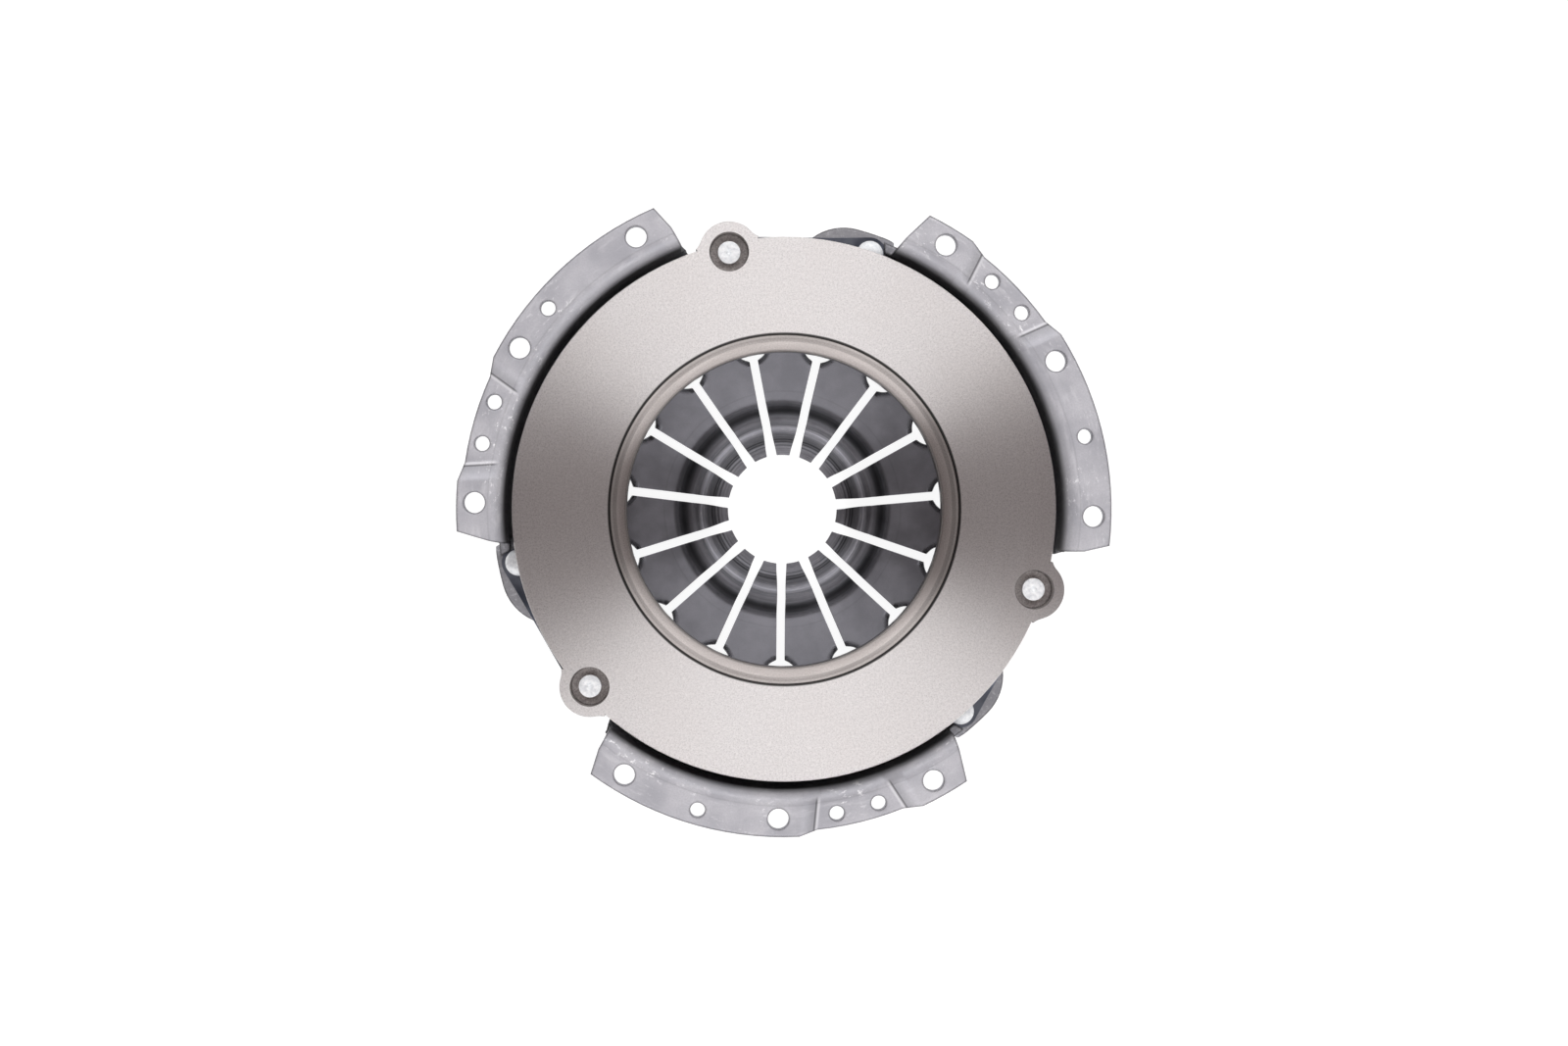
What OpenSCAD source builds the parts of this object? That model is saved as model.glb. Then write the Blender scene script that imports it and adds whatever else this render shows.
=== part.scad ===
// Clutch cover assembly, lying on its back as seen from the flywheel side.
// Millimetres. Z points towards the flywheel, and Z = 0 is the face of the cover that bolts to it.
// The assembly repeats three times around the axis, and it is drawn free, before it is bolted down.

/* [Cover] */
// Diameter of the bolt circle
bolt_circle_d = 250; // [249:0.5:253]
// Diameter of the bolt holes
bolt_hole_d = 8.5; // [8:0.1:9]
// Diameter of the dowel holes and of the pilot holes in the low lands
dowel_hole_d = 6; // [5:0.1:6.5]
// Thickness of the pressed sheet
sheet_t = 4; // [3.2:0.1:4.4]
// Width of the flange outside the bolt circle
flange_margin = 7.3; // [6:0.1:9]
// Inner radius of the big bends, on the flywheel side
bend_r = 6; // [5.5:0.1:6.5]
// How far the low lands lie below the flange
land_drop = 3.5; // [2.5:0.1:4]
// Gap between the pressure plate and the cover wall
plate_gap = 3.5; // [3:0.1:4.5]
// How far the strap ears reach past the cover wall
ear_overhang = 2; // [1:0.1:3]

/* [Pressure plate] */
// How far the rim of the pressure plate lies inside the bolt circle
rim_to_bolts = 14.5; // [14:0.1:15.5]
// Inner diameter of the friction face
friction_bore_d = 142.3; // [140:0.1:144]
// Diameter of the bore of the pressure plate
plate_bore_d = 128.4; // [126:0.1:130]
// Thickness of the pressure plate at its ring
plate_t = 10.5; // [9.5:0.1:12]
// How far the friction face lies below the flange when the cover is free
face_drop = 5; // [4:0.1:6.5]
// Height of the ridge that the spring pushes on
ridge_h = 8.5; // [8.2:0.1:10]
// Radius of the rivet lugs
lug_r = 12.2; // [11:0.1:13]
// Radius of the fillets beside the lugs
lug_fillet_r = 8; // [6:0.5:10]
// Diameter of the sunk seat of a lug rivet
lug_seat_d = 16; // [15:0.1:17]

/* [Diaphragm spring] */
// Number of fingers
fingers = 15; // [12:1:18]
// Thickness of the spring
spring_t = 2.4; // [2.2:0.1:2.6]
// Angle of the free cone
cone_angle = 14; // [12:0.5:15]
// Radius of the opening between the finger tips
tip_r = 23; // [22:0.5:25]
// Width of the slots between the fingers
slot_w = 3.7; // [3:0.1:4.2]
// Diameter of the windows at the outer ends of the slots
window_d = 14.5; // [13.5:0.1:15]
// Diameter of the wire of the two fulcrum rings
wire_d = 3.6; // [3.2:0.1:4]

/* [Drive straps] */
// Number of leaves in a strap
leaves = 3; // [3:1:3]
// Thickness of one leaf
leaf_t = 0.66; // [0.5:0.02:0.68]
// Width of a strap
strap_w = 14; // [12:0.2:14.4]
// Height of the domed rivet heads
rivet_head_h = 3; // [2:0.1:3]

/* [Hidden] */
$fn = 96;

thirds = 3;
third = 360 / thirds;
bend_steps = 8;
over = 1;                       // how far a cut runs past the face that it leaves
fit = 0.05;                     // gap between pieces that are riveted or nested together
leaf_pitch = 0.7;               // from one leaf of a strap to the next

// Steps in radius, from the rim of the pressure plate inwards
rim_to_ridge = 16.5;
ridge_to_fulcrum = 14.5;
fulcrum_to_rivets = 6;
fulcrum_to_windows = 9.3;
roof_edge_w = 6;                // sheet between the rivets and the opening of the roof
rim_overhang = 2.5;             // of the spring past the ridge
rim_clearance = 1.5;            // between the spring and the lip of the roof
lip_bend_r = 2;
land_set_back = 1.8;            // the low lands are a little narrower than the flange

// Steps in height
spring_gap = 0.3;
lip_h = 5;
split_h = 12;
ear_clearance = 1;              // left under the pressed plate above the heads of the strap rivets
plate_lift = 3.5;               // travel of the pressure plate towards the roof

// Radii, worked outwards and inwards from the pressure plate
plate_r = bolt_circle_d / 2 - rim_to_bolts;
wall_in_r = plate_r + plate_gap;
wall_out_r = wall_in_r + sheet_t;
flat_r = wall_in_r + bend_r;    // where the flat flange starts
bolt_r = bolt_circle_d / 2;
flange_r = bolt_r + flange_margin;
beyond_r = flange_r + 12;       // outlines of cuts reach out to here
land_edge_r = flange_r - land_set_back;
ridge_r = plate_r - rim_to_ridge;
fulcrum_r = ridge_r - ridge_to_fulcrum;
window_r = fulcrum_r - fulcrum_to_windows;
spring_rivet_r = fulcrum_r - fulcrum_to_rivets;
opening_r = spring_rivet_r - roof_edge_w;
rim_r = ridge_r + rim_overhang;
lip_in_r = rim_r + rim_clearance;
lip_out_r = lip_in_r + sheet_t;
roof_join_r = lip_in_r - lip_bend_r;   // out to here the roof is a full ring
ear_r = wall_out_r + ear_overhang;

// Levels, worked down from the flange face
face_z = -face_drop;
back_z = face_z - plate_t;
crest_z = back_z - ridge_h;
spring_z = crest_z - spring_gap;               // flywheel side of the spring, under the ridge
spring_h = spring_t / cos(cone_angle);         // its thickness measured along Z
wire_r = wire_d / 2;
wire_reach = (wire_r + fit) / cos(cone_angle);
plate_ring_z = cone_z(fulcrum_r) + wire_reach;
cover_ring_z = cone_z(fulcrum_r) - spring_h - wire_reach;
roof_z = cover_ring_z - wire_r - fit;          // flywheel side of the roof
roof_back_z = roof_z - sheet_t;
stack_t = leaves * leaf_pitch;
ear_z = back_z - plate_lift - ear_clearance - rivet_head_h - stack_t;
strap_cover_z = ear_z + stack_t;               // flywheel side of a strap at its cover rivet
strap_plate_z = back_z;                        // and at its plate rivet

// Rivet places in the first third
cover_rivet_out = 0.8;          // outside the rim of the pressure plate
cover_rivet_a = 72.6;
cover_rivet_r = plate_r + cover_rivet_out;
plate_rivet_in = 3.7;           // inside it
plate_rivet_a = 103.5;
plate_rivet_r = plate_r - plate_rivet_in;
cover_rivet_p = polar(cover_rivet_r, cover_rivet_a);
plate_rivet_p = polar(plate_rivet_r, plate_rivet_a);
strap_v = plate_rivet_p - cover_rivet_p;
strap_len = norm(strap_v);
strap_a = atan2(strap_v[1], strap_v[0]);
rivet_hole_d = 7;
rivet_head_d = 11;
strap_nose = 5.9;               // from the cover rivet to the cut nose of a strap, clear of the ear's fold

// Hole places in the first third
bolt_angles = [0, 30, 60];
land_a = 45;                    // middle of a low land
land_hole_step = 4;
low_split_z = roof_z + split_h; // below this the wall ends follow the roof, above it the flange

function polar(r, a) = [r * cos(a), r * sin(a)];
function cone_z(r) = spring_z - (ridge_r - r) * tan(cone_angle);
function arc(c, r, a0, a1, n = bend_steps) = [for (i = [0 : n]) c + polar(r, a0 + (a1 - a0) * i / n)];
function smooth(s) = s * s * (3 - 2 * s);

module thirds_of() {
    for (k = [0 : thirds - 1])
        rotate(third * k)
            children();
}

// The cover is turned right round the axis and cut straight down in plan, so that faces which meet lie
// exactly in one plane
module full_turn() {
    rotate_extrude($fn = 240)
        children();
}

module cut_down(z0, z1) {
    translate([0, 0, z0])
        linear_extrude(z1 - z0)
            children();
}

// Section of the pressed sheet from the flange edge to the opening, with its flange lowered by a drop
module wall_section(drop, edge_r) {
    top_c = [flat_r, -bend_r - drop];
    low_c = [wall_in_r - bend_r, roof_z + bend_r];
    polygon(concat(
        [[edge_r, -drop]],
        arc(top_c, bend_r, 90, 180),
        arc(low_c, bend_r, 0, -90),
        [[opening_r, roof_z], [opening_r, roof_back_z]],
        arc(low_c, bend_r + sheet_t, -90, 0),
        arc(top_c, bend_r - sheet_t, 180, 90),
        [[edge_r, -sheet_t - drop]]
    ));
}

// The two fold lines of a ramp run parallel, splayed from the middle line of the land
land_splay = 19.5;
land_flat_a = 7.4;              // half angle of the flat land, on the bolt circle
land_ramp_a = 10.8;             // half angle to the top of its ramps
function land_run(a, r) = sqrt(r * r - pow(bolt_r * sin(land_splay - a), 2)) - bolt_r * cos(land_splay - a);
function land_line(a, r) = polar(bolt_r, a) + polar(land_run(a, r), land_splay);

land_in_r = wall_in_r - 2;
land_out_r = flange_r + 3;

// Plan of the land between one of its pairs of fold lines
module land_plan(a) {
    near = land_line(a, land_in_r);
    far = land_line(a, land_out_r);
    polygon([near, far, [beyond_r, far[1]], [beyond_r, -far[1]], [far[0], -far[1]], [near[0], -near[1]]]);
}

// Plan of a ramp between its two fold lines, with its outer edge cut from the land to the flange
module ramp_plan() {
    p = land_line(land_flat_a, land_edge_r);
    q = land_line(land_ramp_a, flange_r);
    inwards = [30, 0];
    intersection() {
        polygon([
            land_line(land_flat_a, land_in_r), land_line(land_flat_a, land_out_r),
            land_line(land_ramp_a, land_out_r), land_line(land_ramp_a, land_in_r)
        ]);
        polygon([2 * p - q, 2 * q - p, 2 * q - p - inwards, 2 * p - q - inwards]);
    }
}

// The sheet of a ramp: the section of the bend, laid along the slope from the land up to the flange. The
// section is measured along a fold line, then seen square to the slope.
ramp_low_z = -bend_r - land_drop;
module ramp_sheet() {
    foot = concat(polar(bolt_r, land_flat_a), [0]);
    head = concat(polar(bolt_r, land_ramp_a), [0]);
    fold = concat(polar(1, land_splay), [0]);
    up = head - foot + [0, 0, land_drop];
    slope = up / norm(up);
    across = fold - (fold * slope) * slope;
    e1 = across / norm(across);
    e2 = cross(slope, e1);
    top_c = [flat_r, -bend_r];
    mid_a = (land_flat_a + land_ramp_a) / 2;
    points = [for (q = concat(
        [[flange_r + 3, 0]],
        arc(top_c, bend_r, 90, 180),
        [[wall_in_r, 3 * ramp_low_z], [wall_out_r, 3 * ramp_low_z]],
        arc(top_c, bend_r - sheet_t, 180, 90),
        [[flange_r + 3, -sheet_t]]
    )) let (p = land_run(mid_a, q[0]) * fold + [0, 0, q[1] - land_drop]) [p * e1, p * e2]];
    spare = 5 * land_drop;
    multmatrix([
        [e1[0], e2[0], slope[0], foot[0]],
        [e1[1], e2[1], slope[1], foot[1]],
        [e1[2], e2[2], slope[2], foot[2]],
        [0, 0, 0, 1]
    ])
        translate([0, 0, -spare])
            linear_extrude(norm(up) + 2 * spare)
                polygon(points);
}

module both_sides() {
    children();
    mirror([0, 1, 0])
        children();
}

// Edges of a bay in plan, from the outside inwards: where the last segment ends, and where the next starts.
// The wall is cut back along other lines above the split than below it.
corner_w = sheet_t / 4;         // the wall ends turn their corner just inside the sheet
start_nose = 2.4;               // where a segment starts, its edge turns this far outside the bend
end_edge = [[beyond_r, 63.2], [flange_r, 65.1], [flat_r, 67.3], [wall_in_r - sheet_t / 2, 68.6]];
start_edge = [
    [beyond_r, 116.8], [flange_r, 114.9], [flat_r + start_nose, 113.3], [wall_out_r - corner_w, 112.9],
    [wall_in_r - sheet_t, 112.4]
];
start_roof_edge = [
    [flange_r, 113.1], [wall_out_r - corner_w, 112.6], [lip_out_r + sheet_t, 109.8], [lip_in_r, 109], [opening_r, 109]
];
bay_out = polar(2 * beyond_r - flat_r, 90);

function polars(edge) = [for (q = edge) polar(q[0], q[1])];
function backwards(list) = [for (i = [len(list) - 1 : -1 : 0]) list[i]];

module upper_bay() {
    polygon(concat([bay_out], polars(end_edge), backwards(polars(start_edge))));
}

module lower_bay() {
    polygon(concat(
        [bay_out, ear_frame(leg_in_x + over / 2, -strap_len / 2), ear_frame(leg_in_x + over / 2, strap_len / 2)],
        backwards(polars(start_roof_edge))
    ));
}

// Flange, wall and roof, with the bays and the lands cut out
module pressed_ring() {
    difference() {
        full_turn()
            wall_section(0, flange_r);
        cut_down(low_split_z - over, over)
            thirds_of()
                upper_bay();
        cut_down(roof_back_z - over, low_split_z)
            difference() {
                thirds_of()
                    lower_bay();
                circle(roof_join_r - 1, $fn = 240);
            }
        cut_down(ramp_low_z, over)
            thirds_of()
                rotate(land_a)
                    land_plan(land_ramp_a);
    }
}

module low_lands() {
    intersection() {
        full_turn()
            wall_section(land_drop, land_edge_r);
        cut_down(ramp_low_z, over)
            thirds_of()
                rotate(land_a)
                    land_plan(land_flat_a);
    }
    intersection() {
        cut_down(ramp_low_z, over)
            thirds_of()
                rotate(land_a)
                    both_sides()
                        ramp_plan();
        thirds_of()
            rotate(land_a)
                both_sides()
                    ramp_sheet();
    }
}

// Frame of an ear: X runs from the cover rivet towards the plate rivet
module ear_side() {
    translate(cover_rivet_p)
        rotate(strap_a)
            children();
}

function ear_frame(x, y) = cover_rivet_p + polar(x, strap_a) + polar(y, strap_a + 90);

ear_side_reach = 10.7;          // from the rivet to the fold beside the wall
leg_in_x = sheet_t - ear_side_reach;
ear_fold_r = 5;
ear_end_r = 22;
ear_from_a = 40;                // an ear is turned between these two angles, well past both its sides
ear_to_a = 112;
ear_reach = strap_len;          // how far the cuts of an ear reach on both sides of its rivet
lip_start_a = 64.1;             // inside the leg of the ear
lip_step = 0.5;                 // how far an ear stands in from both sides of the lip
lip_top_z = roof_z + lip_h;
leg_spare = 0.25;
fold_spare = 0.1;               // the fold beside the wall is a little rounder than the one along the lip

// A block with one rounded top corner, in section: X outwards from the corner, Y up. The flat top is cut
// afterwards, a little below the end of the curve.
top_cut = 0.02;
module corner_section(x, top, r, steps) {
    polygon(concat(
        [[x + ear_reach, top + over], [x + r, top + over]],
        arc([x + r, top + top_cut - r], r, 90, 180, steps),
        [[x, roof_back_z - 10], [x + ear_reach, roof_back_z - 10]]
    ));
}

// A profile turned from one angle to another
module turned(a0, a1) {
    rotate(a0)
        rotate_extrude(angle = a1 - a0, $fn = 240)
            children();
}

module ear_block(inner_r, inset, steps) {
    fold_r = ear_fold_r - inset;
    intersection() {
        turned(ear_from_a, ear_to_a)
            corner_section(inner_r, ear_z - inset, fold_r, steps);
        ear_side()
            translate([0, ear_reach, 0])
                rotate([90, 0, 0])
                    linear_extrude(2 * ear_reach)
                        corner_section(-ear_side_reach + inset, ear_z - inset, fold_r + fold_spare, steps - 1);
        cut_down(roof_back_z - 20, ear_z - inset)
            circle(flange_r + 40);
    }
}

// An ear, folded down along its inner side, where it stands on the lip, and beside the wall, where its leg
// ends inside the sheet of the roof
module ear() {
    low_z = lip_top_z - 1;
    difference() {
        intersection() {
            ear_block(lip_in_r + lip_step, 0, bend_steps);
            union() {
                cut_down(ear_z - sheet_t - leg_spare, ear_z + over)
                    intersection() {
                        circle(ear_r, $fn = 240);
                        ear_plan();
                    }
                cut_down(low_z, ear_z + over)
                    intersection() {
                        circle(lip_out_r + over, $fn = 240);
                        ear_plan();
                    }
                intersection() {
                    cut_down(roof_back_z, ear_z + over)
                        intersection() {
                            ear_plan();
                            ear_side()
                                translate([-ear_reach, -ear_reach])
                                    square([ear_reach + leg_in_x + leg_spare, 2 * ear_reach]);
                        }
                    turned(ear_from_a, ear_to_a)
                        polygon(concat(
                            [[lip_in_r - 1, ear_z + over], [lip_in_r - 1, roof_z - sheet_t / 2]],
                            arc([wall_in_r - bend_r, roof_z + bend_r], bend_r + sheet_t / 2, -90, 0),
                            [[wall_in_r + sheet_t / 2, ear_z + over]]
                        ));
                }
            }
        }
        ear_block(lip_out_r - lip_step, sheet_t, bend_steps / 2);
    }
}

ear_end_a = cover_rivet_a + 3.9;

// Plan of an ear: everything back from its rounded free end
module ear_plan() {
    end_p = polar(ear_r - ear_end_r, ear_end_a);
    translate(end_p)
        circle(ear_end_r);
    polygon([
        end_p, polar(2 * ear_r, ear_end_a), polar(2 * ear_r, ear_from_a + 10),
        polar(opening_r, ear_from_a + 10), polar(opening_r, cover_rivet_a + 16),
        end_p - polar(ear_end_r, cover_rivet_a - 74)
    ]);
}

// The roof is turned up into a low lip where the wall is missing
module lip_section() {
    c = [roof_join_r, roof_z + lip_in_r - roof_join_r];
    polygon(concat(
        [[lip_out_r, lip_top_z], [lip_in_r, lip_top_z]],
        arc(c, lip_in_r - roof_join_r, 0, -90),
        [[roof_join_r - 4, roof_z], [roof_join_r - 4, roof_back_z]],
        arc(c, lip_out_r - roof_join_r, -90, 0)
    ));
}

module lips() {
    end_a = third - 10;
    intersection() {
        full_turn()
            lip_section();
        cut_down(roof_back_z - over, lip_top_z + over)
            thirds_of()
                polygon([[0, 0], polar(wall_out_r, lip_start_a), bay_out, polar(wall_out_r, end_a)]);
    }
}

module cover() {
    color("#9c9da3")
        difference() {
            union() {
                pressed_ring();
                low_lands();
                thirds_of()
                    ear();
                lips();
            }
            thirds_of() {
                for (a = bolt_angles)
                    through_hole(polar(bolt_r, a), bolt_hole_d);
                for (s = [-1, 1])
                    through_hole(polar(bolt_r, land_a + s * land_hole_step), dowel_hole_d);
                through_hole(cover_rivet_p, rivet_hole_d);
            }
            through_hole(polar(bolt_r, 15), dowel_hole_d);
            through_hole(polar(bolt_r, 141), dowel_hole_d);
            through_hole(polar(bolt_r + 1.2, 255), dowel_hole_d);
            for (k = [0 : fingers - 1])
                through_hole(polar(spring_rivet_r, finger_a(k)), rivet_hole_d);
        }
}

module through_hole(p, d) {
    translate([p[0], p[1], roof_back_z - over])
        cylinder(d = d, h = over * 2 - roof_back_z, $fn = 48);
}

// Angle of the slot between two fingers
function finger_a(k) = 270.4 + 360 / fingers * k;

bead_r = 1.8;                   // of the ridge's crest
edge_break = 0.3;               // broken edges of the friction face
back_break = 0.6;               // and of the back
step_h = 1;                     // the seat inside the friction face lies this far below it
bevel_w = 3.5;                  // the bevel from there down to the bore
bevel_h = 3.2;
bore_lead_h = 0.5;
notch_w = 6;                    // vents cut through the ridge
notch_h = 3.5;
notches = 4;                    // in each third
notch_a = 13.5;

module pressure_plate() {
    step_r = friction_bore_d / 2;
    bore_r = plate_bore_d / 2;
    bead_c = [ridge_r, crest_z + bead_r];
    bead_foot = bead_r + step_h;
    bevel_r = step_r - bevel_w;
    bevel_z = face_z - bevel_h;
    lead_r = bore_r + back_break;
    lead_z = bevel_z - bore_lead_h;
    section = concat(
        [[plate_r, face_z - edge_break], [plate_r - edge_break, face_z], [step_r, face_z], [step_r, face_z - step_h],
         [step_r - edge_break, face_z - step_h], [bevel_r, bevel_z], [lead_r, lead_z],
         [bore_r, lead_z - back_break], [bore_r, back_z + back_break], [lead_r, back_z],
         [ridge_r - bead_foot, back_z]],
        arc(bead_c, bead_r, 180, 360),
        [[ridge_r + bead_foot, back_z], [plate_r - back_break, back_z], [plate_r, back_z + back_break]]
    );
    color("#b8b0ac")
        difference() {
            union() {
                rotate_extrude($fn = 240)
                    polygon(section);
                thirds_of()
                    lug();
            }
            thirds_of() {
                lug_bore();
                for (k = [0 : notches - 1])
                    rotate(third / notches * k + notch_a)
                        translate([ridge_r, 0, crest_z - over])
                            linear_extrude(notch_h + over)
                                square([2 * notch_w, notch_w], center = true);
            }
        }
}

lug_root_w = 20;                // the outline of a lug starts this far inside the rim

// A lug and its fillets: the fillet circles touch the rim and the lug
module lug() {
    bite = 0.01;
    a = plate_r + lug_fillet_r - bite;
    b = lug_r + lug_fillet_r - bite;
    c = plate_rivet_r;
    turn = acos((a * a + c * c - b * b) / (2 * a * c));
    translate([0, 0, back_z])
        linear_extrude(plate_t)
            rotate(plate_rivet_a)
                difference() {
                    union() {
                        translate([c, 0])
                            circle(lug_r);
                        polygon([[plate_r - lug_root_w, 0], polar(a, turn), [c, 0], polar(a, -turn)]);
                    }
                    for (s = [-1, 1])
                        translate(polar(a, s * turn))
                            circle(lug_fillet_r);
                }
}

lug_seat_depth = 6;

module lug_bore() {
    translate([plate_rivet_p[0], plate_rivet_p[1], back_z - over])
        cylinder(d = rivet_hole_d, h = plate_t + 2 * over, $fn = 48);
    translate([plate_rivet_p[0], plate_rivet_p[1], face_z - lug_seat_depth])
        cylinder(d = lug_seat_d, h = lug_seat_depth + over, $fn = 64);
}

// The ring formed in the fingers, stepped outwards from their tips
tip_flat_w = 4.5;
crest_in_w = 10.5;
crest_out_w = 6.8;
crest_h = 4.5;                  // from the valley up to the crest
foot_drop = 1.9;                // from the valley down to the foot of the tips
tip_drop = 0.7;                 // from there down to the tips
form_r = 4;                     // radius of these bends in the middle of the sheet

// Middle line of the spring: the cone, the ring formed near the tips, and the tips
function spring_line() =
    let (foot_r = tip_r + tip_flat_w, crest_r = foot_r + crest_in_w, valley_r = crest_r + crest_out_w)
    let (mid = -spring_h / 2, valley_z = cone_z(valley_r) + mid, foot_z = valley_z - foot_drop)
    [[rim_r, cone_z(rim_r) + mid], [valley_r, valley_z], [crest_r, valley_z + crest_h], [foot_r, foot_z],
     [tip_r, foot_z - tip_drop]];

function unit(v) = v / norm(v);
function left(v) = [-v[1], v[0]];

// A line with its corners rounded
function rounded(p, r, steps) = concat(
    [p[0]],
    [for (i = [1 : len(p) - 2])
        let (
            u = unit(p[i] - p[i - 1]),
            v = unit(p[i + 1] - p[i]),
            turn = acos(u * v),
            side = sign(left(u) * v),
            t = r * tan(turn / 2),
            c = p[i] - u * t + side * left(u) * r,
            a0 = atan2(-side * left(u)[1], -side * left(u)[0])
        )
        each [for (k = [0 : steps]) c + polar(r, a0 + side * turn * k / steps)]],
    [p[len(p) - 1]]
);

function line_side(p, i) = left(unit(p[min(i + 1, len(p) - 1)] - p[max(i - 1, 0)]));

// A strip of sheet around a middle line
module strip(p, t) {
    polygon(concat(
        [for (i = [0 : len(p) - 1]) p[i] + line_side(p, i) * t / 2],
        [for (i = [len(p) - 1 : -1 : 0]) p[i] - line_side(p, i) * t / 2]
    ));
}

module diaphragm_spring() {
    depth = -2 * roof_back_z;
    color("#5c5d63")
        difference() {
            rotate_extrude($fn = 240)
                strip(rounded(spring_line(), form_r, 4), spring_t);
            for (k = [0 : fingers - 1])
                rotate(finger_a(k)) {
                    translate([tip_r - 4, -slot_w / 2, -depth])
                        cube([window_r - tip_r + 4, slot_w, depth]);
                    translate([window_r, 0, -depth])
                        cylinder(d = window_d, h = depth, $fn = 48);
                }
        }
}

module wire_ring(z) {
    color("#85878c")
        rotate_extrude($fn = 240)
            translate([fulcrum_r, z])
                circle(wire_r, $fn = 32);
}

module fulcrum_ring_plate_side() {
    wire_ring(plate_ring_z);
}

module fulcrum_ring_cover_side() {
    wire_ring(cover_ring_z);
}

spring_rivet_head_h = 2.4;
spring_rivet_rim_h = 1;         // height of the head at its edge
formed_r = 5.5;                 // the head formed behind the roof
formed_h = 2;
formed_rim_h = 0.8;
formed_break = 1.3;

// A turned rivet from its own section, listed from the tip of the upper head down
module spring_rivets() {
    top_z = plate_ring_z + wire_r + fit;
    head_h = spring_rivet_head_h;
    head_r = fulcrum_r - spring_rivet_r + wire_r;
    shank_r = rivet_hole_d / 2 - fit;
    color("#a9abb0")
        for (k = [0 : fingers - 1])
            rotate(finger_a(k))
                translate([spring_rivet_r, 0, 0])
                    rotate_extrude($fn = 48)
                        polygon([
                            [0, top_z + head_h], [head_r - head_h + spring_rivet_rim_h, top_z + head_h],
                            [head_r, top_z + spring_rivet_rim_h], [head_r, top_z], [shank_r, top_z],
                            [shank_r, roof_back_z], [formed_r, roof_back_z], [formed_r, roof_back_z - formed_rim_h],
                            [formed_r - formed_break, roof_back_z - formed_h], [0, roof_back_z - formed_h]
                        ]);
}

flat_l = 9;                     // how far a leaf lies flat past each of its rivets

// Section of a leaf along the strap: flat at both rivets, with an even bend between them
module leaf_section(z0, z1) {
    steps = 14;
    top = concat(
        [[-strap_w / 2, z0]],
        [for (i = [0 : steps]) [flat_l + (strap_len - 2 * flat_l) * i / steps, z0 + (z1 - z0) * smooth(i / steps)]],
        [[strap_len + strap_w / 2, z1]]
    );
    polygon(concat(top, [for (i = [len(top) - 1 : -1 : 0]) top[i] - [0, leaf_t]]));
}

// Plan of a leaf: round ends, and a cut nose beside the fold of the ear
module leaf_plan() {
    intersection() {
        union() {
            for (x = [0, strap_len])
                translate([x, 0])
                    circle(d = strap_w);
            translate([0, -strap_w / 2])
                square([strap_len, strap_w]);
        }
        translate([-strap_nose, -strap_w])
            square([2 * strap_len, 2 * strap_w]);
    }
}

module strap_leaf(strap, leaf) {
    drop = (leaf - 1) * stack_t / leaves;
    color("#454c5a")
        rotate(third * (strap - 1))
            ear_side()
                difference() {
                    intersection() {
                        translate([0, strap_w, 0])
                            rotate([90, 0, 0])
                                linear_extrude(2 * strap_w)
                                    leaf_section(strap_cover_z - drop, strap_plate_z - drop);
                        translate([0, 0, roof_z])
                            linear_extrude(-roof_z)
                                leaf_plan();
                    }
                    for (x = [0, strap_len])
                        translate([x, 0, roof_z])
                            cylinder(d = rivet_hole_d, h = -roof_z, $fn = 48);
                }
}

// Holds a strap to its ear: a low dome on the flywheel side and a formed head behind the ear
module strap_cover_rivet(strap) {
    head_r = rivet_head_d / 2;
    shank_r = rivet_hole_d / 2 - fit;
    dome_z = strap_cover_z + rivet_head_h;
    foot_z = ear_z - sheet_t;
    color("#c3c8d0")
        rotate(third * (strap - 1))
            translate(cover_rivet_p)
                rotate_extrude($fn = 64)
                    polygon([
                        [0, dome_z], [head_r - 3, dome_z - 0.3], [head_r - 1, dome_z - 1.1],
                        [head_r, dome_z - 2.2], [head_r, strap_cover_z], [shank_r, strap_cover_z],
                        [shank_r, foot_z], [head_r - 0.3, foot_z], [head_r - 0.3, foot_z - 1],
                        [head_r - 1.5, foot_z - 2.2], [0, foot_z - 2.2]
                    ]);
}

// Holds a strap under its lug: the small formed end stands in the sunk seat of the lug
module strap_plate_rivet(strap) {
    seat_z = face_z - lug_seat_depth;
    end_r = 4.6;
    end_h = 3;
    head_r = rivet_head_d / 2;
    shank_r = rivet_hole_d / 2 - fit;
    foot_z = strap_plate_z - stack_t;
    color("#c3c8d0")
        rotate(third * (strap - 1))
            translate(plate_rivet_p)
                rotate_extrude($fn = 64)
                    polygon([
                        [0, seat_z + end_h - 0.5], [0.7, seat_z + end_h], [end_r - 0.5, seat_z + end_h],
                        [end_r, seat_z + end_h - 0.5], [end_r, seat_z], [shank_r, seat_z],
                        [shank_r, foot_z], [head_r, foot_z], [head_r, foot_z - 1.4],
                        [head_r - 1.4, foot_z - rivet_head_h], [0, foot_z - rivet_head_h]
                    ]);
}

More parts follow.
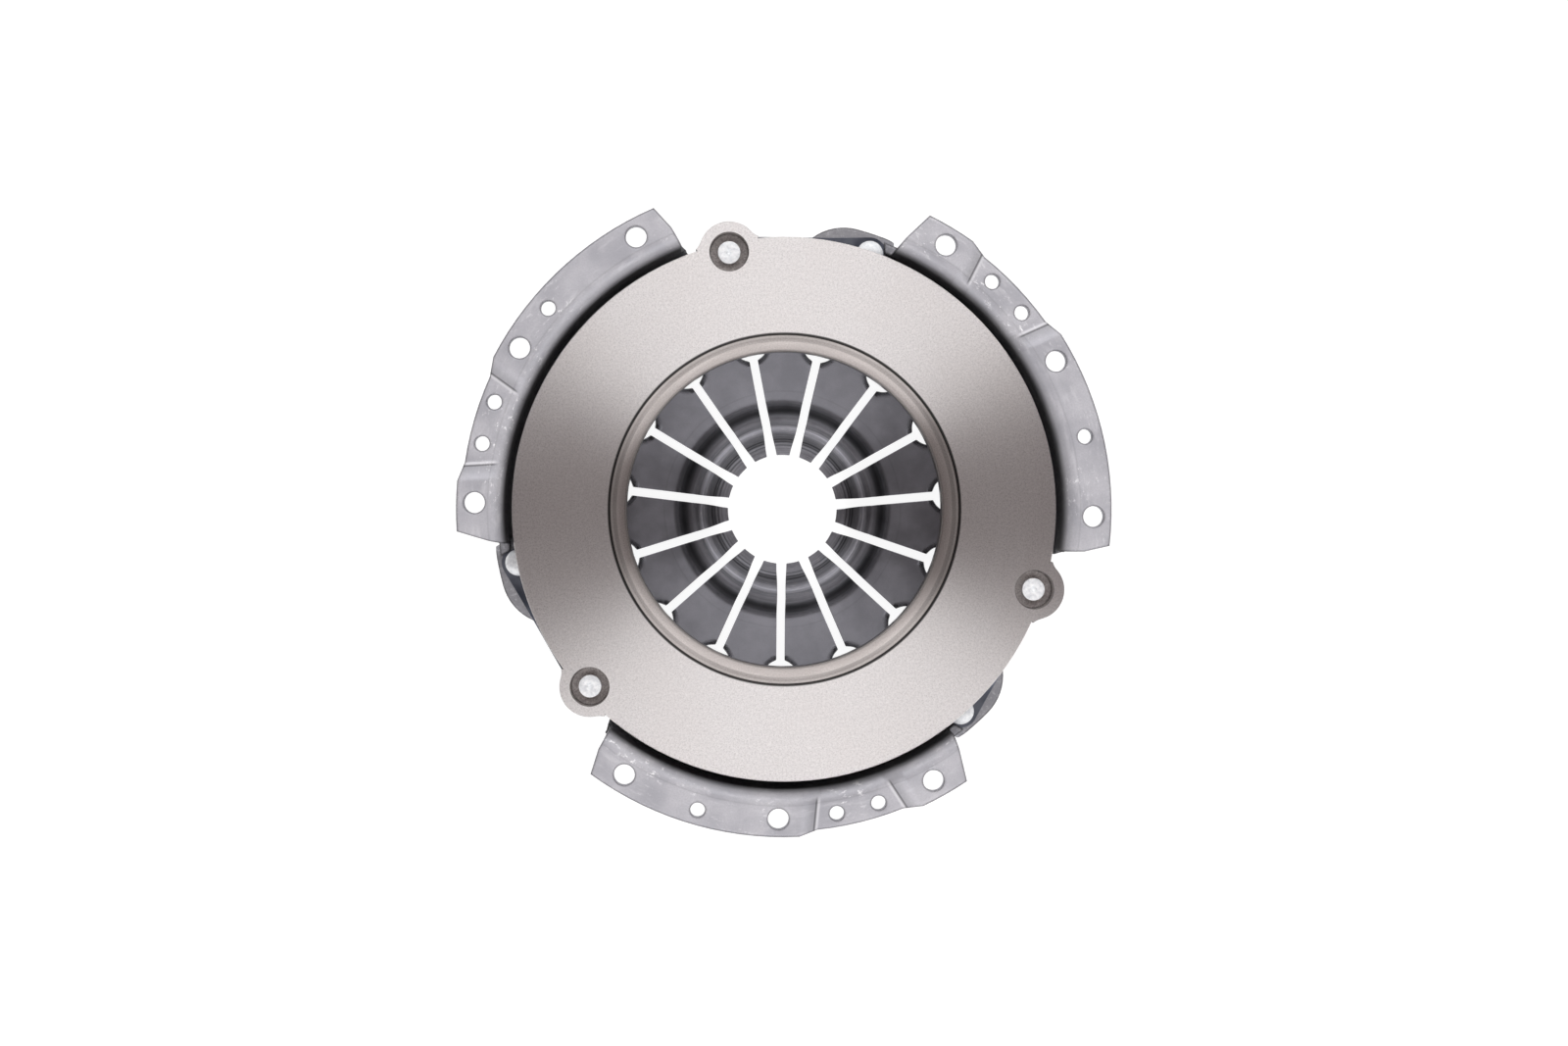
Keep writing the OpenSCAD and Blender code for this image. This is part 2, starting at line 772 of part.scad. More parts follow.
cover();
pressure_plate();
diaphragm_spring();
fulcrum_ring_plate_side();
fulcrum_ring_cover_side();
spring_rivets();
strap_leaf(1, 1);  // strap_1_leaf_1
strap_leaf(1, 2);  // strap_1_leaf_2
strap_leaf(1, 3);  // strap_1_leaf_3
strap_leaf(2, 1);  // strap_2_leaf_1
strap_leaf(2, 2);  // strap_2_leaf_2
strap_leaf(2, 3);  // strap_2_leaf_3
strap_leaf(3, 1);  // strap_3_leaf_1
strap_leaf(3, 2);  // strap_3_leaf_2
strap_leaf(3, 3);  // strap_3_leaf_3
strap_cover_rivet(1);  // strap_cover_rivet_1
strap_cover_rivet(2);  // strap_cover_rivet_2
strap_cover_rivet(3);  // strap_cover_rivet_3
strap_plate_rivet(1);  // strap_plate_rivet_1
strap_plate_rivet(2);  // strap_plate_rivet_2
strap_plate_rivet(3);  // strap_plate_rivet_3
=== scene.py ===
# %% [markdown]
# # A clutch cover assembly
# The object is the pressed cover of a car clutch with its pressure plate, as it lies on the bench with the
# face that meets the flywheel upwards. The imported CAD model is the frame: it fixes every size and place, in
# metres. This lesson dresses it. Some CAD nodes are copied and finished, others are grown again with
# Geometry Nodes, and all of them get metals that are made of nodes.

import math

import bmesh
import bpy
from mathutils import Matrix, Vector


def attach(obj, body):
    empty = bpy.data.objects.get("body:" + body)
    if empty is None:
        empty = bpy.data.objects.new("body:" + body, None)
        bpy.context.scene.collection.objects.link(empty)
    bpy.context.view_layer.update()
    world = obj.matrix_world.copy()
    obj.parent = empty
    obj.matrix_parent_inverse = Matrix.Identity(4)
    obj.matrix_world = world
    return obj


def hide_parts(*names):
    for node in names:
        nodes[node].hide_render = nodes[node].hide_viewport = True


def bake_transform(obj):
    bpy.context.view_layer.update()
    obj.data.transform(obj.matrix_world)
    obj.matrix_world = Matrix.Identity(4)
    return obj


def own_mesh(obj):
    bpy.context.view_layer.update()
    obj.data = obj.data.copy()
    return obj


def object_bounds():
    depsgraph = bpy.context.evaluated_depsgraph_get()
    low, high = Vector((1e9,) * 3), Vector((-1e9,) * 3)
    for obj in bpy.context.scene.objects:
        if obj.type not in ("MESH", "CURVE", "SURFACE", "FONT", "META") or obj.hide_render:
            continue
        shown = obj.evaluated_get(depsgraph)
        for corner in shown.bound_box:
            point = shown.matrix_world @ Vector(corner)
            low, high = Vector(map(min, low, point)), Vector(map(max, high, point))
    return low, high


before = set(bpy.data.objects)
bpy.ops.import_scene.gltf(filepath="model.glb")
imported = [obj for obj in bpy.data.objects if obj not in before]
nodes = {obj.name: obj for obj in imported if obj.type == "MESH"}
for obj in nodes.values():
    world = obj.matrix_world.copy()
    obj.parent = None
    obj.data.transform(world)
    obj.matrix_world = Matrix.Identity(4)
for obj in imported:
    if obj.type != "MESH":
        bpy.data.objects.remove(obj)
cad_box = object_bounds()
print("CAD nodes:", len(nodes))

# %% [markdown]
# ## Sizes
# The frame carries finished meshes and no dimensions, so a size that a finish or a grown piece needs is
# named in the cell that first uses it, in metres, and has the value that the part's source gives it.

# %% Millimetres, and places round the axis
MM = 0.001
THIRDS = 3


def polar(radius, angle):
    return Vector((radius * math.cos(angle), radius * math.sin(angle)))


print("lugs, ears and flange segments repeat every", 360 // THIRDS, "degrees")

# %% [markdown]
# ## The camera
# The photograph looks almost straight down on the friction face, from a little to the left of the axis. A
# normal lens at nine tenths of a metre gives the same weak perspective. The picture's right is turned 1.3
# degrees from the X axis, and a camera that only tracks a target can't be turned like that, so its three
# axes are worked out here and written into its matrix.

# %% The camera
EYE = Vector((-29.6, 2.4, 900)) * MM
AIM = Vector((-0.41, -5.42, 0)) * MM
PICTURE_TURN = math.radians(1.28)

camera = bpy.data.objects.new("camera", bpy.data.cameras.new("camera"))
bpy.context.scene.collection.objects.link(camera)
bpy.context.scene.camera = camera
camera.data.lens = 51.26
camera.data.sensor_width = 36
camera.data.clip_end = 20
back = (EYE - AIM).normalized()
right = Vector((*polar(1, PICTURE_TURN), 0))
right = (right - right.dot(back) * back).normalized()
up = back.cross(right)
camera.matrix_world = Matrix((
    (right.x, up.x, back.x, EYE.x), (right.y, up.y, back.y, EYE.y), (right.z, up.z, back.z, EYE.z),
    (0, 0, 0, 1)
))
print("camera", [round(v, 3) for v in camera.location])

# %% [markdown]
# ## A small kit for node trees
# Shader trees and geometry trees are wired in the same way: make a node, set its options, and give each
# input either a number or the output of another node. Two short methods do all of it below, and a few more
# stand for the arithmetic, so that a formula reads like one.


# %% Wiring for node trees
class Wiring:
    """Adds nodes to a tree and joins them."""

    def __init__(self, tree):
        self.tree = tree

    def feed(self, socket, value):
        if isinstance(value, bpy.types.NodeSocket):
            self.tree.links.new(value, socket)
        else:
            socket.default_value = value

    def add(self, kind, inputs=None, **settings):
        node = self.tree.nodes.new(kind)
        for name, value in settings.items():
            setattr(node, name, value)
        for key, value in (inputs or {}).items():
            self.feed(node.inputs[key], value)
        return node

    def maths(self, operation, *values, clamp=False):
        node = self.add("ShaderNodeMath", operation=operation, use_clamp=clamp)
        for socket, value in zip(node.inputs, values):
            self.feed(socket, value)
        return node.outputs[0]

    def plus(self, first, second, clamp=False):
        return self.maths("ADD", first, second, clamp=clamp)

    def minus(self, first, second):
        return self.maths("SUBTRACT", first, second)

    def times(self, first, *others):
        for other in others:
            first = self.maths("MULTIPLY", first, other)
        return first

    def over(self, first, second, clamp=False):
        return self.maths("DIVIDE", first, second, clamp=clamp)

    def between(self, value, low, high, out_low=0.0, out_high=1.0, smooth=True):
        """value brought from the range low to high into another range, without leaving it."""
        kind = "SMOOTHSTEP" if smooth else "LINEAR"
        node = self.add("ShaderNodeMapRange", interpolation_type=kind, clamp=True)
        for socket, number in zip(node.inputs, (value, low, high, out_low, out_high)):
            self.feed(socket, number)
        return node.outputs[0]

    def blend(self, share, first, second):
        """A colour between two colours."""
        node = self.add("ShaderNodeMix", data_type="RGBA")
        self.feed(node.inputs[0], share)
        for socket, colour in zip((node.inputs[6], node.inputs[7]), (first, second)):
            self.feed(socket, colour if isinstance(colour, bpy.types.NodeSocket) else (*colour, 1))
        return node.outputs[2]


# %% [markdown]
# ## Metals from nodes
# Everything here is iron or steel, so one start serves all: a metallic Principled shader over the object's
# own coordinates. Pictures of metal could be wrapped round the pieces instead, but nodes keep their grain
# sharp at any distance and need no unwrapping.


# %% The start of every metal
class Metal(Wiring):
    """A metallic material with the object's coordinates at hand."""

    def __init__(self, name, metallic, **constants):
        self.material = bpy.data.materials.new(name)
        self.material.use_nodes = True
        super().__init__(self.material.node_tree)
        self.shader = self.tree.nodes["Principled BSDF"]
        self.shader.inputs["Metallic"].default_value = metallic
        for socket, value in constants.items():
            self.shader.inputs[socket.replace("_", " ")].default_value = value
        self.place = self.add("ShaderNodeTexCoord").outputs["Object"]

    def noise(self, scale, detail=3.0, roughness=0.5, vector=None):
        """Cloudy noise from 0 to 1, with that many clouds to the metre."""
        return self.add("ShaderNodeTexNoise", {
            "Vector": vector or self.place, "Scale": scale, "Detail": detail, "Roughness": roughness
        }).outputs[0]

    def tone(self, colour, shade):
        """A colour made lighter or darker by a factor."""
        return self.add("ShaderNodeVectorMath", {0: colour, "Scale": shade}, operation="SCALE").outputs[0]

    def darken(self, colour, share):
        """A colour that loses that share of its light."""
        return self.tone(colour, self.minus(1.0, share))

    def finish(self, colour, roughness, height=None, depth=0.0, normal=None):
        """Wires the shader up, with a bump of that depth in metres that stands on the given normal."""
        self.feed(self.shader.inputs["Base Color"], colour)
        self.feed(self.shader.inputs["Roughness"], roughness)
        if height is not None:
            bump = self.add("ShaderNodeBump", {"Height": height, "Distance": depth, "Strength": 1.0})
            if normal is not None:
                self.feed(bump.inputs["Normal"], normal)
            self.feed(self.shader.inputs["Normal"], bump.outputs[0])
        print(self.material.name, "nodes:", len(self.tree.nodes))
        return self.material


# %% [markdown]
# ## Marks that follow circles and edges
# Most marks on a turned or pressed round part run round its axis, so this metal turns its place into a
# radius and an angle. It also finds the edges: a Bevel node rounds the normals beside them, and where the
# rounded normal leaves the plain one, an edge is near.


# %% The start of a round metal
class RoundMetal(Metal):
    """A metal that knows its radius, its angle round the axis, its height and its edges."""

    def __init__(self, name, metallic, **constants):
        super().__init__(name, metallic, **constants)
        self.x, self.y, self.z = self.add("ShaderNodeSeparateXYZ", {0: self.place}).outputs
        self.radius = self.maths("SQRT", self.plus(self.times(self.x, self.x), self.times(self.y, self.y)))
        self.angle = self.maths("ARCTAN2", self.y, self.x)

    def ring_place(self, across, along):
        """Coordinates that follow the circles: cells per metre of radius, and per radian round the axis."""
        return self.add("ShaderNodeCombineXYZ", {
            0: self.times(self.radius, across), 1: self.times(self.angle, along), 2: 0.0
        }).outputs[0]

    def streaks(self, across, along, detail, roughness):
        """Noise from 0 to 1 that is drawn out along the circles."""
        return self.noise(1.0, detail, roughness, self.ring_place(across, along))

    def by_radius(self, *stops):
        """A factor that follows the radius: pairs of a radius in millimetres and a factor up to 2."""
        first, last, most = stops[0][0], stops[-1][0], 2.0
        share = self.between(self.radius, first * MM, last * MM, smooth=False)
        ramp = self.add("ShaderNodeValToRGB", {0: share})
        ramp.color_ramp.interpolation = "EASE"
        marks = ramp.color_ramp.elements
        while len(marks) < len(stops):
            marks.new(0.5)
        for mark, (at_r, factor) in zip(marks, stops):
            mark.position = (at_r - first) / (last - first)
            mark.color = (factor / most, factor / most, factor / most, 1)
        return self.times(ramp.outputs[0], most)

    def edge(self, width):
        """1 on the sharp edges, falling to 0 at about a third of that width from them."""
        self.rounded = self.add("ShaderNodeBevel", {"Radius": width}, samples=6).outputs[0]
        plain = self.add("ShaderNodeNewGeometry").outputs["Normal"]
        same = self.add("ShaderNodeVectorMath", {0: self.rounded, 1: plain}, operation="DOT_PRODUCT")
        return self.between(same.outputs["Value"], 0.80, 0.995, 1.0, 0.0)


# %% [markdown]
# ## The turned friction face
# The lathe leaves fine circular grooves, and grooves spread light across themselves: the face shines in
# two wide fans, towards the lights, and stays dark between them. The grooves could be modelled as bump, but
# they are finer than a pixel. An anisotropic shader gives the same fans with its tangent laid along the
# radius. Iron shows small flecks of graphite, so the colour gets fine specks that are a little longer
# along the grooves.


# %% A metal with turned grooves
def turned_metal(name, anisotropic):
    """A metal that shines across its circular grooves, with its fine specks and its grooves."""
    metal = RoundMetal(name, 1.0, Anisotropic=anisotropic)
    spoke = metal.add("ShaderNodeCombineXYZ", {0: metal.x, 1: metal.y, 2: 0.0})
    spoke = metal.add("ShaderNodeVectorMath", {0: spoke.outputs[0]}, operation="NORMALIZE")
    metal.feed(metal.shader.inputs["Tangent"], spoke.outputs[0])
    specks = metal.streaks(2200.0, 150.0, 4.0, 0.65)
    grooves = metal.streaks(900.0, 3.0, 2.0, 0.5)
    return metal, specks, grooves


# %% Turned iron
turned, specks, grooves = turned_metal("turned_iron", 0.95)
iron = turned.blend(turned.between(specks, 0.30, 0.55), (0.597, 0.574, 0.570), (0.820, 0.798, 0.797))

# Warm clouds, and single grooves that shine more than the rest
clouds = turned.noise(26.0, 2.0)
iron = turned.blend(turned.between(clouds, 0.3, 0.7, 0.0, 0.25), iron, (0.75, 0.705, 0.69))
iron = turned.blend(turned.between(grooves, 0.35, 0.65, 0.0, 0.2), iron, (0.86, 0.835, 0.83))

# A fine grain, with pale flecks in it
mottle = turned.noise(1000.0, 3.0, 0.8)
iron = turned.tone(iron, turned.between(mottle, 0.35, 0.65, 0.92, 1.06))
flecks = turned.noise(900.0, 2.0, 0.7)
iron = turned.blend(turned.between(flecks, 0.64, 0.70, 0.0, 0.45), iron, (0.97, 0.95, 0.945))

# Painted shade: a dark ring in the step beside the face, and outer edges a little darker than the face
iron = turned.tone(iron, turned.by_radius((70.5, 0.85), (70.9, 0.1), (71.5, 0.1), (72.0, 0.95), (72.3, 1.0)))
iron = turned.tone(iron, turned.between(turned.edge(0.4 * MM), 0.2, 1.0, 1.0, 0.45))
roughness = turned.between(grooves, 0.3, 0.7, 0.42, 0.48, smooth=False)
turned_iron = turned.finish(iron, roughness, specks, 0.003 * MM)

# %% [markdown]
# ## Bored iron, bare cast iron and the sunk seats
# The bore and the bevel beside the face are cut more coarsely than the face, so they take the same metal in a
# darker tone, with rings of painted shade that follow the bevel's steps. Where no tool has cut it the plate
# keeps its cast skin: dark, rough and a little brown. The seats round the rivets are dull, with painted shade
# in their corners.

# %% Bored iron
bored, specks, grooves = turned_metal("bored_iron", 0.97)
iron = bored.blend(bored.between(specks, 0.3, 0.65), (0.42, 0.385, 0.372), (0.60, 0.56, 0.545))
# Painted shade in rings: dark at the bore's edge and in the step beside the face, and a little darker on part
# of the bevel
iron = bored.tone(iron, bored.by_radius(
    (64, 0.12), (64.6, 0.5), (65.4, 0.95), (68.1, 1.0), (68.5, 0.72), (69.6, 0.66), (70.0, 0.85),
    (70.5, 0.85), (70.9, 0.1), (71.5, 0.1)
))
bored_iron = bored.finish(iron, bored.between(grooves, 0.3, 0.7, 0.33, 0.40), specks, 0.006 * MM)

# %% Cast iron and the seats
cast = Metal("cast_iron", 0.7)
skin = cast.noise(900.0, 5.0, 0.65)
stain = cast.noise(60.0, 3.0)
iron = cast.blend(cast.between(skin, 0.35, 0.7), (0.10, 0.095, 0.09), (0.20, 0.19, 0.18))
iron = cast.blend(cast.between(stain, 0.5, 0.75, 0.0, 0.5), iron, (0.16, 0.12, 0.095))
cast_iron = cast.finish(iron, cast.between(skin, 0.3, 0.7, 0.55, 0.8), skin, 0.25 * MM)

seat = RoundMetal("seat_iron", 0.75)
grain = seat.noise(1600.0, 4.0, 0.6)
iron = seat.blend(seat.between(grain, 0.35, 0.7), (0.30, 0.279, 0.274), (0.54, 0.506, 0.497))
# Painted shade in the corners of the seat, found by the edge mask
iron = seat.tone(iron, seat.between(seat.edge(1.8 * MM), 0.05, 0.6, 1.0, 0.22))
seat_iron = seat.finish(iron, 0.6, grain, 0.1 * MM)

# %% [markdown]
# ## The pressed cover's steel
# Deep-drawn sheet has a soft, cold grey sheen: a haze, a fine grain, and streaks that were drawn out round
# the axis. Where the dies slid over the start of the bend it carries pale scuffs. One noise gives the
# scuffs and a second, far larger one says where they gather, because real ones come in patches.

# %% Pressed steel: the sheet
pressed = RoundMetal("pressed_steel", 0.6)
haze = pressed.noise(55.0, 4.0, 0.55)
grain = pressed.noise(1500.0, 3.0, 0.6)
draw = pressed.streaks(300.0, 9.0, 3.0, 0.6)
steel = pressed.blend(pressed.between(haze, 0.32, 0.68), (0.435, 0.437, 0.475), (0.56, 0.558, 0.592))
steel = pressed.blend(pressed.between(grain, 0.35, 0.7, 0.0, 0.3), steel, (0.36, 0.36, 0.395))
steel = pressed.blend(pressed.between(draw, 0.52, 0.72, 0.0, 0.4), steel, (0.68, 0.68, 0.71))

# %% Pressed steel: pale scuffs, thickest along the start of the bend
scuffs = pressed.between(pressed.streaks(560.0, 30.0, 6.0, 0.75), 0.55, 0.64, 0.0, 0.9)
patches = pressed.between(pressed.noise(42.0, 1.0), 0.46, 0.60)
near_bend = pressed.by_radius((113, 0.0), (116, 1.0), (121, 1.0), (123, 0.4), (134, 0.3))
not_on_wall = pressed.between(pressed.z, -14 * MM, -9 * MM)
scuff = pressed.times(scuffs, patches, near_bend, not_on_wall)
steel = pressed.blend(scuff, steel, (0.93, 0.93, 0.95))
print("nodes for the scuffed sheet:", len(pressed.tree.nodes))

# %% [markdown]
# ## The creases of the ramps
# Each segment of the flange has a low land with a ramp at either end, where the sheet is folded sharply. The
# fold gets painted shade in its crease and down the slope beyond it, and a painted highlight on the land's
# side of it. The three segments are alike and each is symmetrical, so the angle is wrapped into one third and
# measured from the land's middle. One crease then does for all six.

# %% Pressed steel: how far a point is from its crease
LAND_MIDDLE = math.radians(45)
FOLD_TURN = math.radians(19.5)
CREASE_R = 125 * MM
CREASE_ANGLE = math.radians(8.1)

third = math.tau / THIRDS
one_third = pressed.maths("WRAP", pressed.angle, LAND_MIDDLE + third / 2, LAND_MIDDLE - third / 2)
from_land = pressed.maths("ABSOLUTE", pressed.minus(one_third, LAND_MIDDLE))
along = pressed.times(pressed.radius, pressed.maths("COSINE", from_land))
across = pressed.times(pressed.radius, pressed.maths("SINE", from_land))
beside = pressed.minus(pressed.times(across, math.cos(FOLD_TURN)), pressed.times(along, math.sin(FOLD_TURN)))
from_crease = pressed.minus(beside, CREASE_R * math.sin(CREASE_ANGLE - FOLD_TURN))
print("crease", round(math.degrees(CREASE_ANGLE), 1), "degrees from the land's middle")

# %% Pressed steel: painted shade in the crease and on its slope, and a painted highlight beside it
on_flange = pressed.times(
    pressed.between(pressed.radius, 116.5 * MM, 119.5 * MM), pressed.between(pressed.z, -10 * MM, -7.5 * MM)
)
# A painted highlight along the fold, on the land's side of the crease
fold_highlight = pressed.times(
    pressed.between(from_crease, -2.0 * MM, -1.0 * MM),
    pressed.between(from_crease, -0.4 * MM, 0.1 * MM, 1.0, 0.0)
)
steel = pressed.blend(pressed.times(fold_highlight, on_flange, 0.6), steel, (0.74, 0.74, 0.77))
# Painted shade in the crease, and down the slope beyond it
line = pressed.between(pressed.maths("ABSOLUTE", from_crease), 0.1 * MM, 0.8 * MM, 0.65, 0.0)
slope = pressed.times(
    pressed.between(from_crease, -0.2 * MM, 0.2 * MM),
    pressed.between(from_crease, 0.3 * MM, 5.0 * MM, 0.24, 0.0)
)
steel = pressed.darken(steel, pressed.times(pressed.maths("MAXIMUM", line, slope), on_flange))
print("nodes with the creases:", len(pressed.tree.nodes))

# %% [markdown]
# ## The cover's bend, edges and wall
# Painted shade darkens the sheet in rings as it rolls down to the wall. The rings follow the radius, and they
# fade out below the bend. The cut edges get painted shade too. Low down the wall is blotched, with painted
# shade, and beside the roof it gets a dark patch of dirt and painted shade.

# %% Pressed steel: painted shade on the bend and the edges
upper = pressed.between(pressed.z, -20 * MM, -12 * MM)
# Painted shade: the sheet darkens in rings as it rolls down to the wall, with a faint dark line where the
# bend starts, and the shade fades out below the bend
rings = pressed.by_radius(
    (111, 0.06), (112.6, 0.24), (114, 0.56), (115.5, 0.78), (117.5, 0.92), (119.2, 0.97), (119.7, 0.88),
    (120.2, 1.0), (134, 1.0)
)
steel = pressed.darken(steel, pressed.times(upper, pressed.minus(1.0, rings)))
# Painted shade on the edges, found by the edge mask
steel = pressed.tone(steel, pressed.between(pressed.edge(1.8 * MM), 0.1, 0.9, 1.0, 0.25))

# %% Pressed steel: blotches, painted shade, and dirt low on the wall
beside_roof = pressed.between(pressed.radius, 98 * MM, 106 * MM)
# Painted shade low on the wall beside the roof, deeper down
deep = pressed.times(beside_roof, pressed.between(pressed.z, -16 * MM, -10 * MM, 1.0, 0.0))
steel = pressed.darken(steel, pressed.times(deep, 0.32))
blotches = pressed.between(pressed.noise(700.0, 4.0, 0.7), 0.52, 0.66, 0.0, 0.5)
steel = pressed.blend(pressed.times(deep, blotches), steel, (0.62, 0.62, 0.65))
# Dirt and painted shade: a dark patch low down beside the roof
dirt_and_shade = pressed.times(beside_roof, pressed.between(pressed.z, -34 * MM, -27 * MM, 0.6, 0.0))
steel = pressed.blend(dirt_and_shade, steel, (0.12, 0.12, 0.13))
roughness = pressed.between(haze, 0.3, 0.7, 0.52, 0.62)
pressed_steel = pressed.finish(steel, roughness, grain, 0.03 * MM, pressed.rounded)

# %% [markdown]
# ## The diaphragm spring's steel
# Hardened spring steel leaves the furnace dark grey, with a faint blue or brown tint. The ring near the
# fingertips is rubbed by the release bearing: it is smoother, streaked in circles and finely scratched. Its
# light and dark rings are painted: they stand for how the formed ring mirrors the room, written down by their
# radius because such a broad curve in so dark a metal hardly shows them by itself. The edges beside the
# windows are painted almost black, as shade.

# %% Hardened steel
RUBBED_R = (36 * MM, 40 * MM)

hard, grain = turned_metal("hardened_steel", 0.55)[:2]
haze = hard.noise(70.0, 4.0, 0.55)
steel = hard.blend(hard.between(haze, 0.32, 0.68), (0.188, 0.189, 0.21), (0.25, 0.25, 0.276))
steel = hard.blend(hard.between(grain, 0.4, 0.7, 0.0, 0.3), steel, (0.15, 0.148, 0.165))
rubbed = hard.between(hard.radius, *RUBBED_R, 1.0, 0.0)
scratches = hard.between(hard.streaks(1600.0, 9.0, 5.0, 0.7), 0.5, 0.72, 0.0, 0.3)
steel = hard.blend(hard.times(rubbed, scratches), steel, (0.46, 0.44, 0.44))
turnings = hard.between(hard.streaks(1700.0, 1.2, 2.0, 0.5), 0.36, 0.64, 0.15, -0.1)
steel = hard.darken(steel, hard.times(rubbed, turnings))

# %% Hardened steel: painted reflections on the formed ring, and painted shade at the windows' edges
# Painted reflections and shade: the light and dark rings of the formed ring, by radius
steel = hard.tone(steel, hard.by_radius(
    (23, 1.0), (26.4, 0.95), (27, 0.3), (27.5, 0.8), (28.0, 0.6), (28.4, 0.15), (28.9, 0.45), (29.4, 0.12),
    (29.9, 0.42), (31.5, 0.45), (32.6, 0.85), (33.4, 1.1), (34.0, 1.4), (34.6, 0.95), (35.5, 0.48),
    (36.3, 0.5), (37.5, 0.85), (38.7, 0.62), (40, 0.4), (41.5, 0.3), (43, 0.6), (43.8, 1.15), (45, 0.7),
    (46, 1.0), (49, 1.0), (49.5, 0.9), (50, 1.0), (97, 1.0)
))
# Painted shade: the edges beside the windows go almost black
by_window = hard.times(hard.edge(4.0 * MM), hard.between(hard.radius, 61.0 * MM, 62.2 * MM))
steel = hard.tone(steel, hard.between(by_window, 0.01, 0.09, 1.0, 0.02))
hardened_steel = hard.finish(steel, hard.between(haze, 0.3, 0.7, 0.40, 0.48), grain, 0.01 * MM)

# %% [markdown]
# ## The small dark and bright metals
# The sheared end of a fingertip gets a near-black metal that is hardly glossy: painted shade.
# The straps are blued by tempering, the wire rings are drawn, and the rivets are zinc plated: pale, hazy and
# dented a little by the hammer.

# %% Cut edges in painted shade, blued straps, drawn wire and zinc
# Near-black and hardly glossy: painted shade for the sheared ends of the fingertips
cut = Metal("cut_edge", 0.0, Specular_IOR_Level=0.05)
cut_edge = cut.finish(cut.blend(cut.noise(1500.0, 2.0), (0.010, 0.010, 0.012), (0.035, 0.035, 0.04)), 0.9)

blued = Metal("blued_steel", 0.95)
haze = blued.noise(120.0, 3.0)
steel = blued.blend(blued.between(haze, 0.3, 0.7), (0.085, 0.095, 0.125), (0.16, 0.172, 0.205))
blued_steel = blued.finish(steel, blued.between(haze, 0.3, 0.7, 0.32, 0.45), haze, 0.02 * MM)

wire = Metal("drawn_wire", 0.9)
haze = wire.noise(400.0, 3.0)
steel = wire.blend(wire.between(haze, 0.3, 0.7), (0.20, 0.20, 0.215), (0.34, 0.34, 0.36))
drawn_wire = wire.finish(steel, 0.35, haze, 0.03 * MM)

zinc = Metal("zinc_rivet", 0.4)
haze = zinc.noise(650.0, 5.0, 0.75)
blows = zinc.noise(1400.0, 2.0)
plating = zinc.blend(zinc.between(haze, 0.3, 0.7), (0.68, 0.71, 0.74), (0.96, 0.98, 0.99))
zinc_rivet = zinc.finish(plating, zinc.between(haze, 0.3, 0.7, 0.4, 0.55), blows, 0.05 * MM)
print("materials:", len(bpy.data.materials))

# %% [markdown]
# ## From live shapes to plain meshes
# Geometry Nodes and modifiers describe a shape; the export and the joints need the plain mesh that comes
# out. So a piece is grown or finished first and then frozen: its evaluated shape becomes its mesh, and
# the modifiers go.


# %% Making and freezing pieces
def new_piece(name, mesh=None):
    piece = bpy.data.objects.new(name, mesh or bpy.data.meshes.new(name))
    bpy.context.scene.collection.objects.link(piece)
    return piece


def freeze(piece, sharp=math.radians(35)):
    """The evaluated shape becomes the mesh, smooth but for edges that turn by more than the angle."""
    bpy.context.view_layer.update()
    graph = bpy.context.evaluated_depsgraph_get()
    live = piece.evaluated_get(graph)
    mesh = bpy.data.meshes.new_from_object(live, preserve_all_data_layers=True, depsgraph=graph)
    piece.modifiers.clear()
    piece.data = mesh
    mesh.polygons.foreach_set("use_smooth", [True] * len(mesh.polygons))
    mesh.set_sharp_from_angle(angle=sharp)
    return piece


# %% Checking and mounting pieces
def volume(mesh):
    """Volume inside a closed mesh: negative where its faces point inwards."""
    total = 0.0
    for face in mesh.polygons:
        ring = [mesh.vertices[i].co for i in face.vertices]
        for a, b in zip(ring[1:], ring[2:]):
            total += ring[0].dot(a.cross(b)) / 6
    return total


def face_outwards(piece):
    """Turns the faces out where they point inwards, and prints what the mesh is like."""
    if volume(piece.data) < 0:
        piece.data.flip_normals()
    work = bmesh.new()
    work.from_mesh(piece.data)
    loose = sum(1 for e in work.edges if not e.is_manifold)
    work.free()
    print(piece.name, "faces", len(piece.data.polygons), "open edges", loose,
          "cm3", round(volume(piece.data) * 1e6, 2))


def mount(piece, body, slot, *stands_for):
    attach(piece, body)
    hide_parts(*stands_for)


# %% [markdown]
# ## Growing pieces with Geometry Nodes
# A tree is a rule with named inputs. The copies round the axis are instances, which the export drops, so
# each tree makes them real before it ends.

# %% Trees with named inputs
SOCKETS = {
    "length": "NodeSocketFloat", "angle": "NodeSocketFloat", "ratio": "NodeSocketFloat",
    "count": "NodeSocketInt", "object": "NodeSocketObject", "material": "NodeSocketMaterial",
}


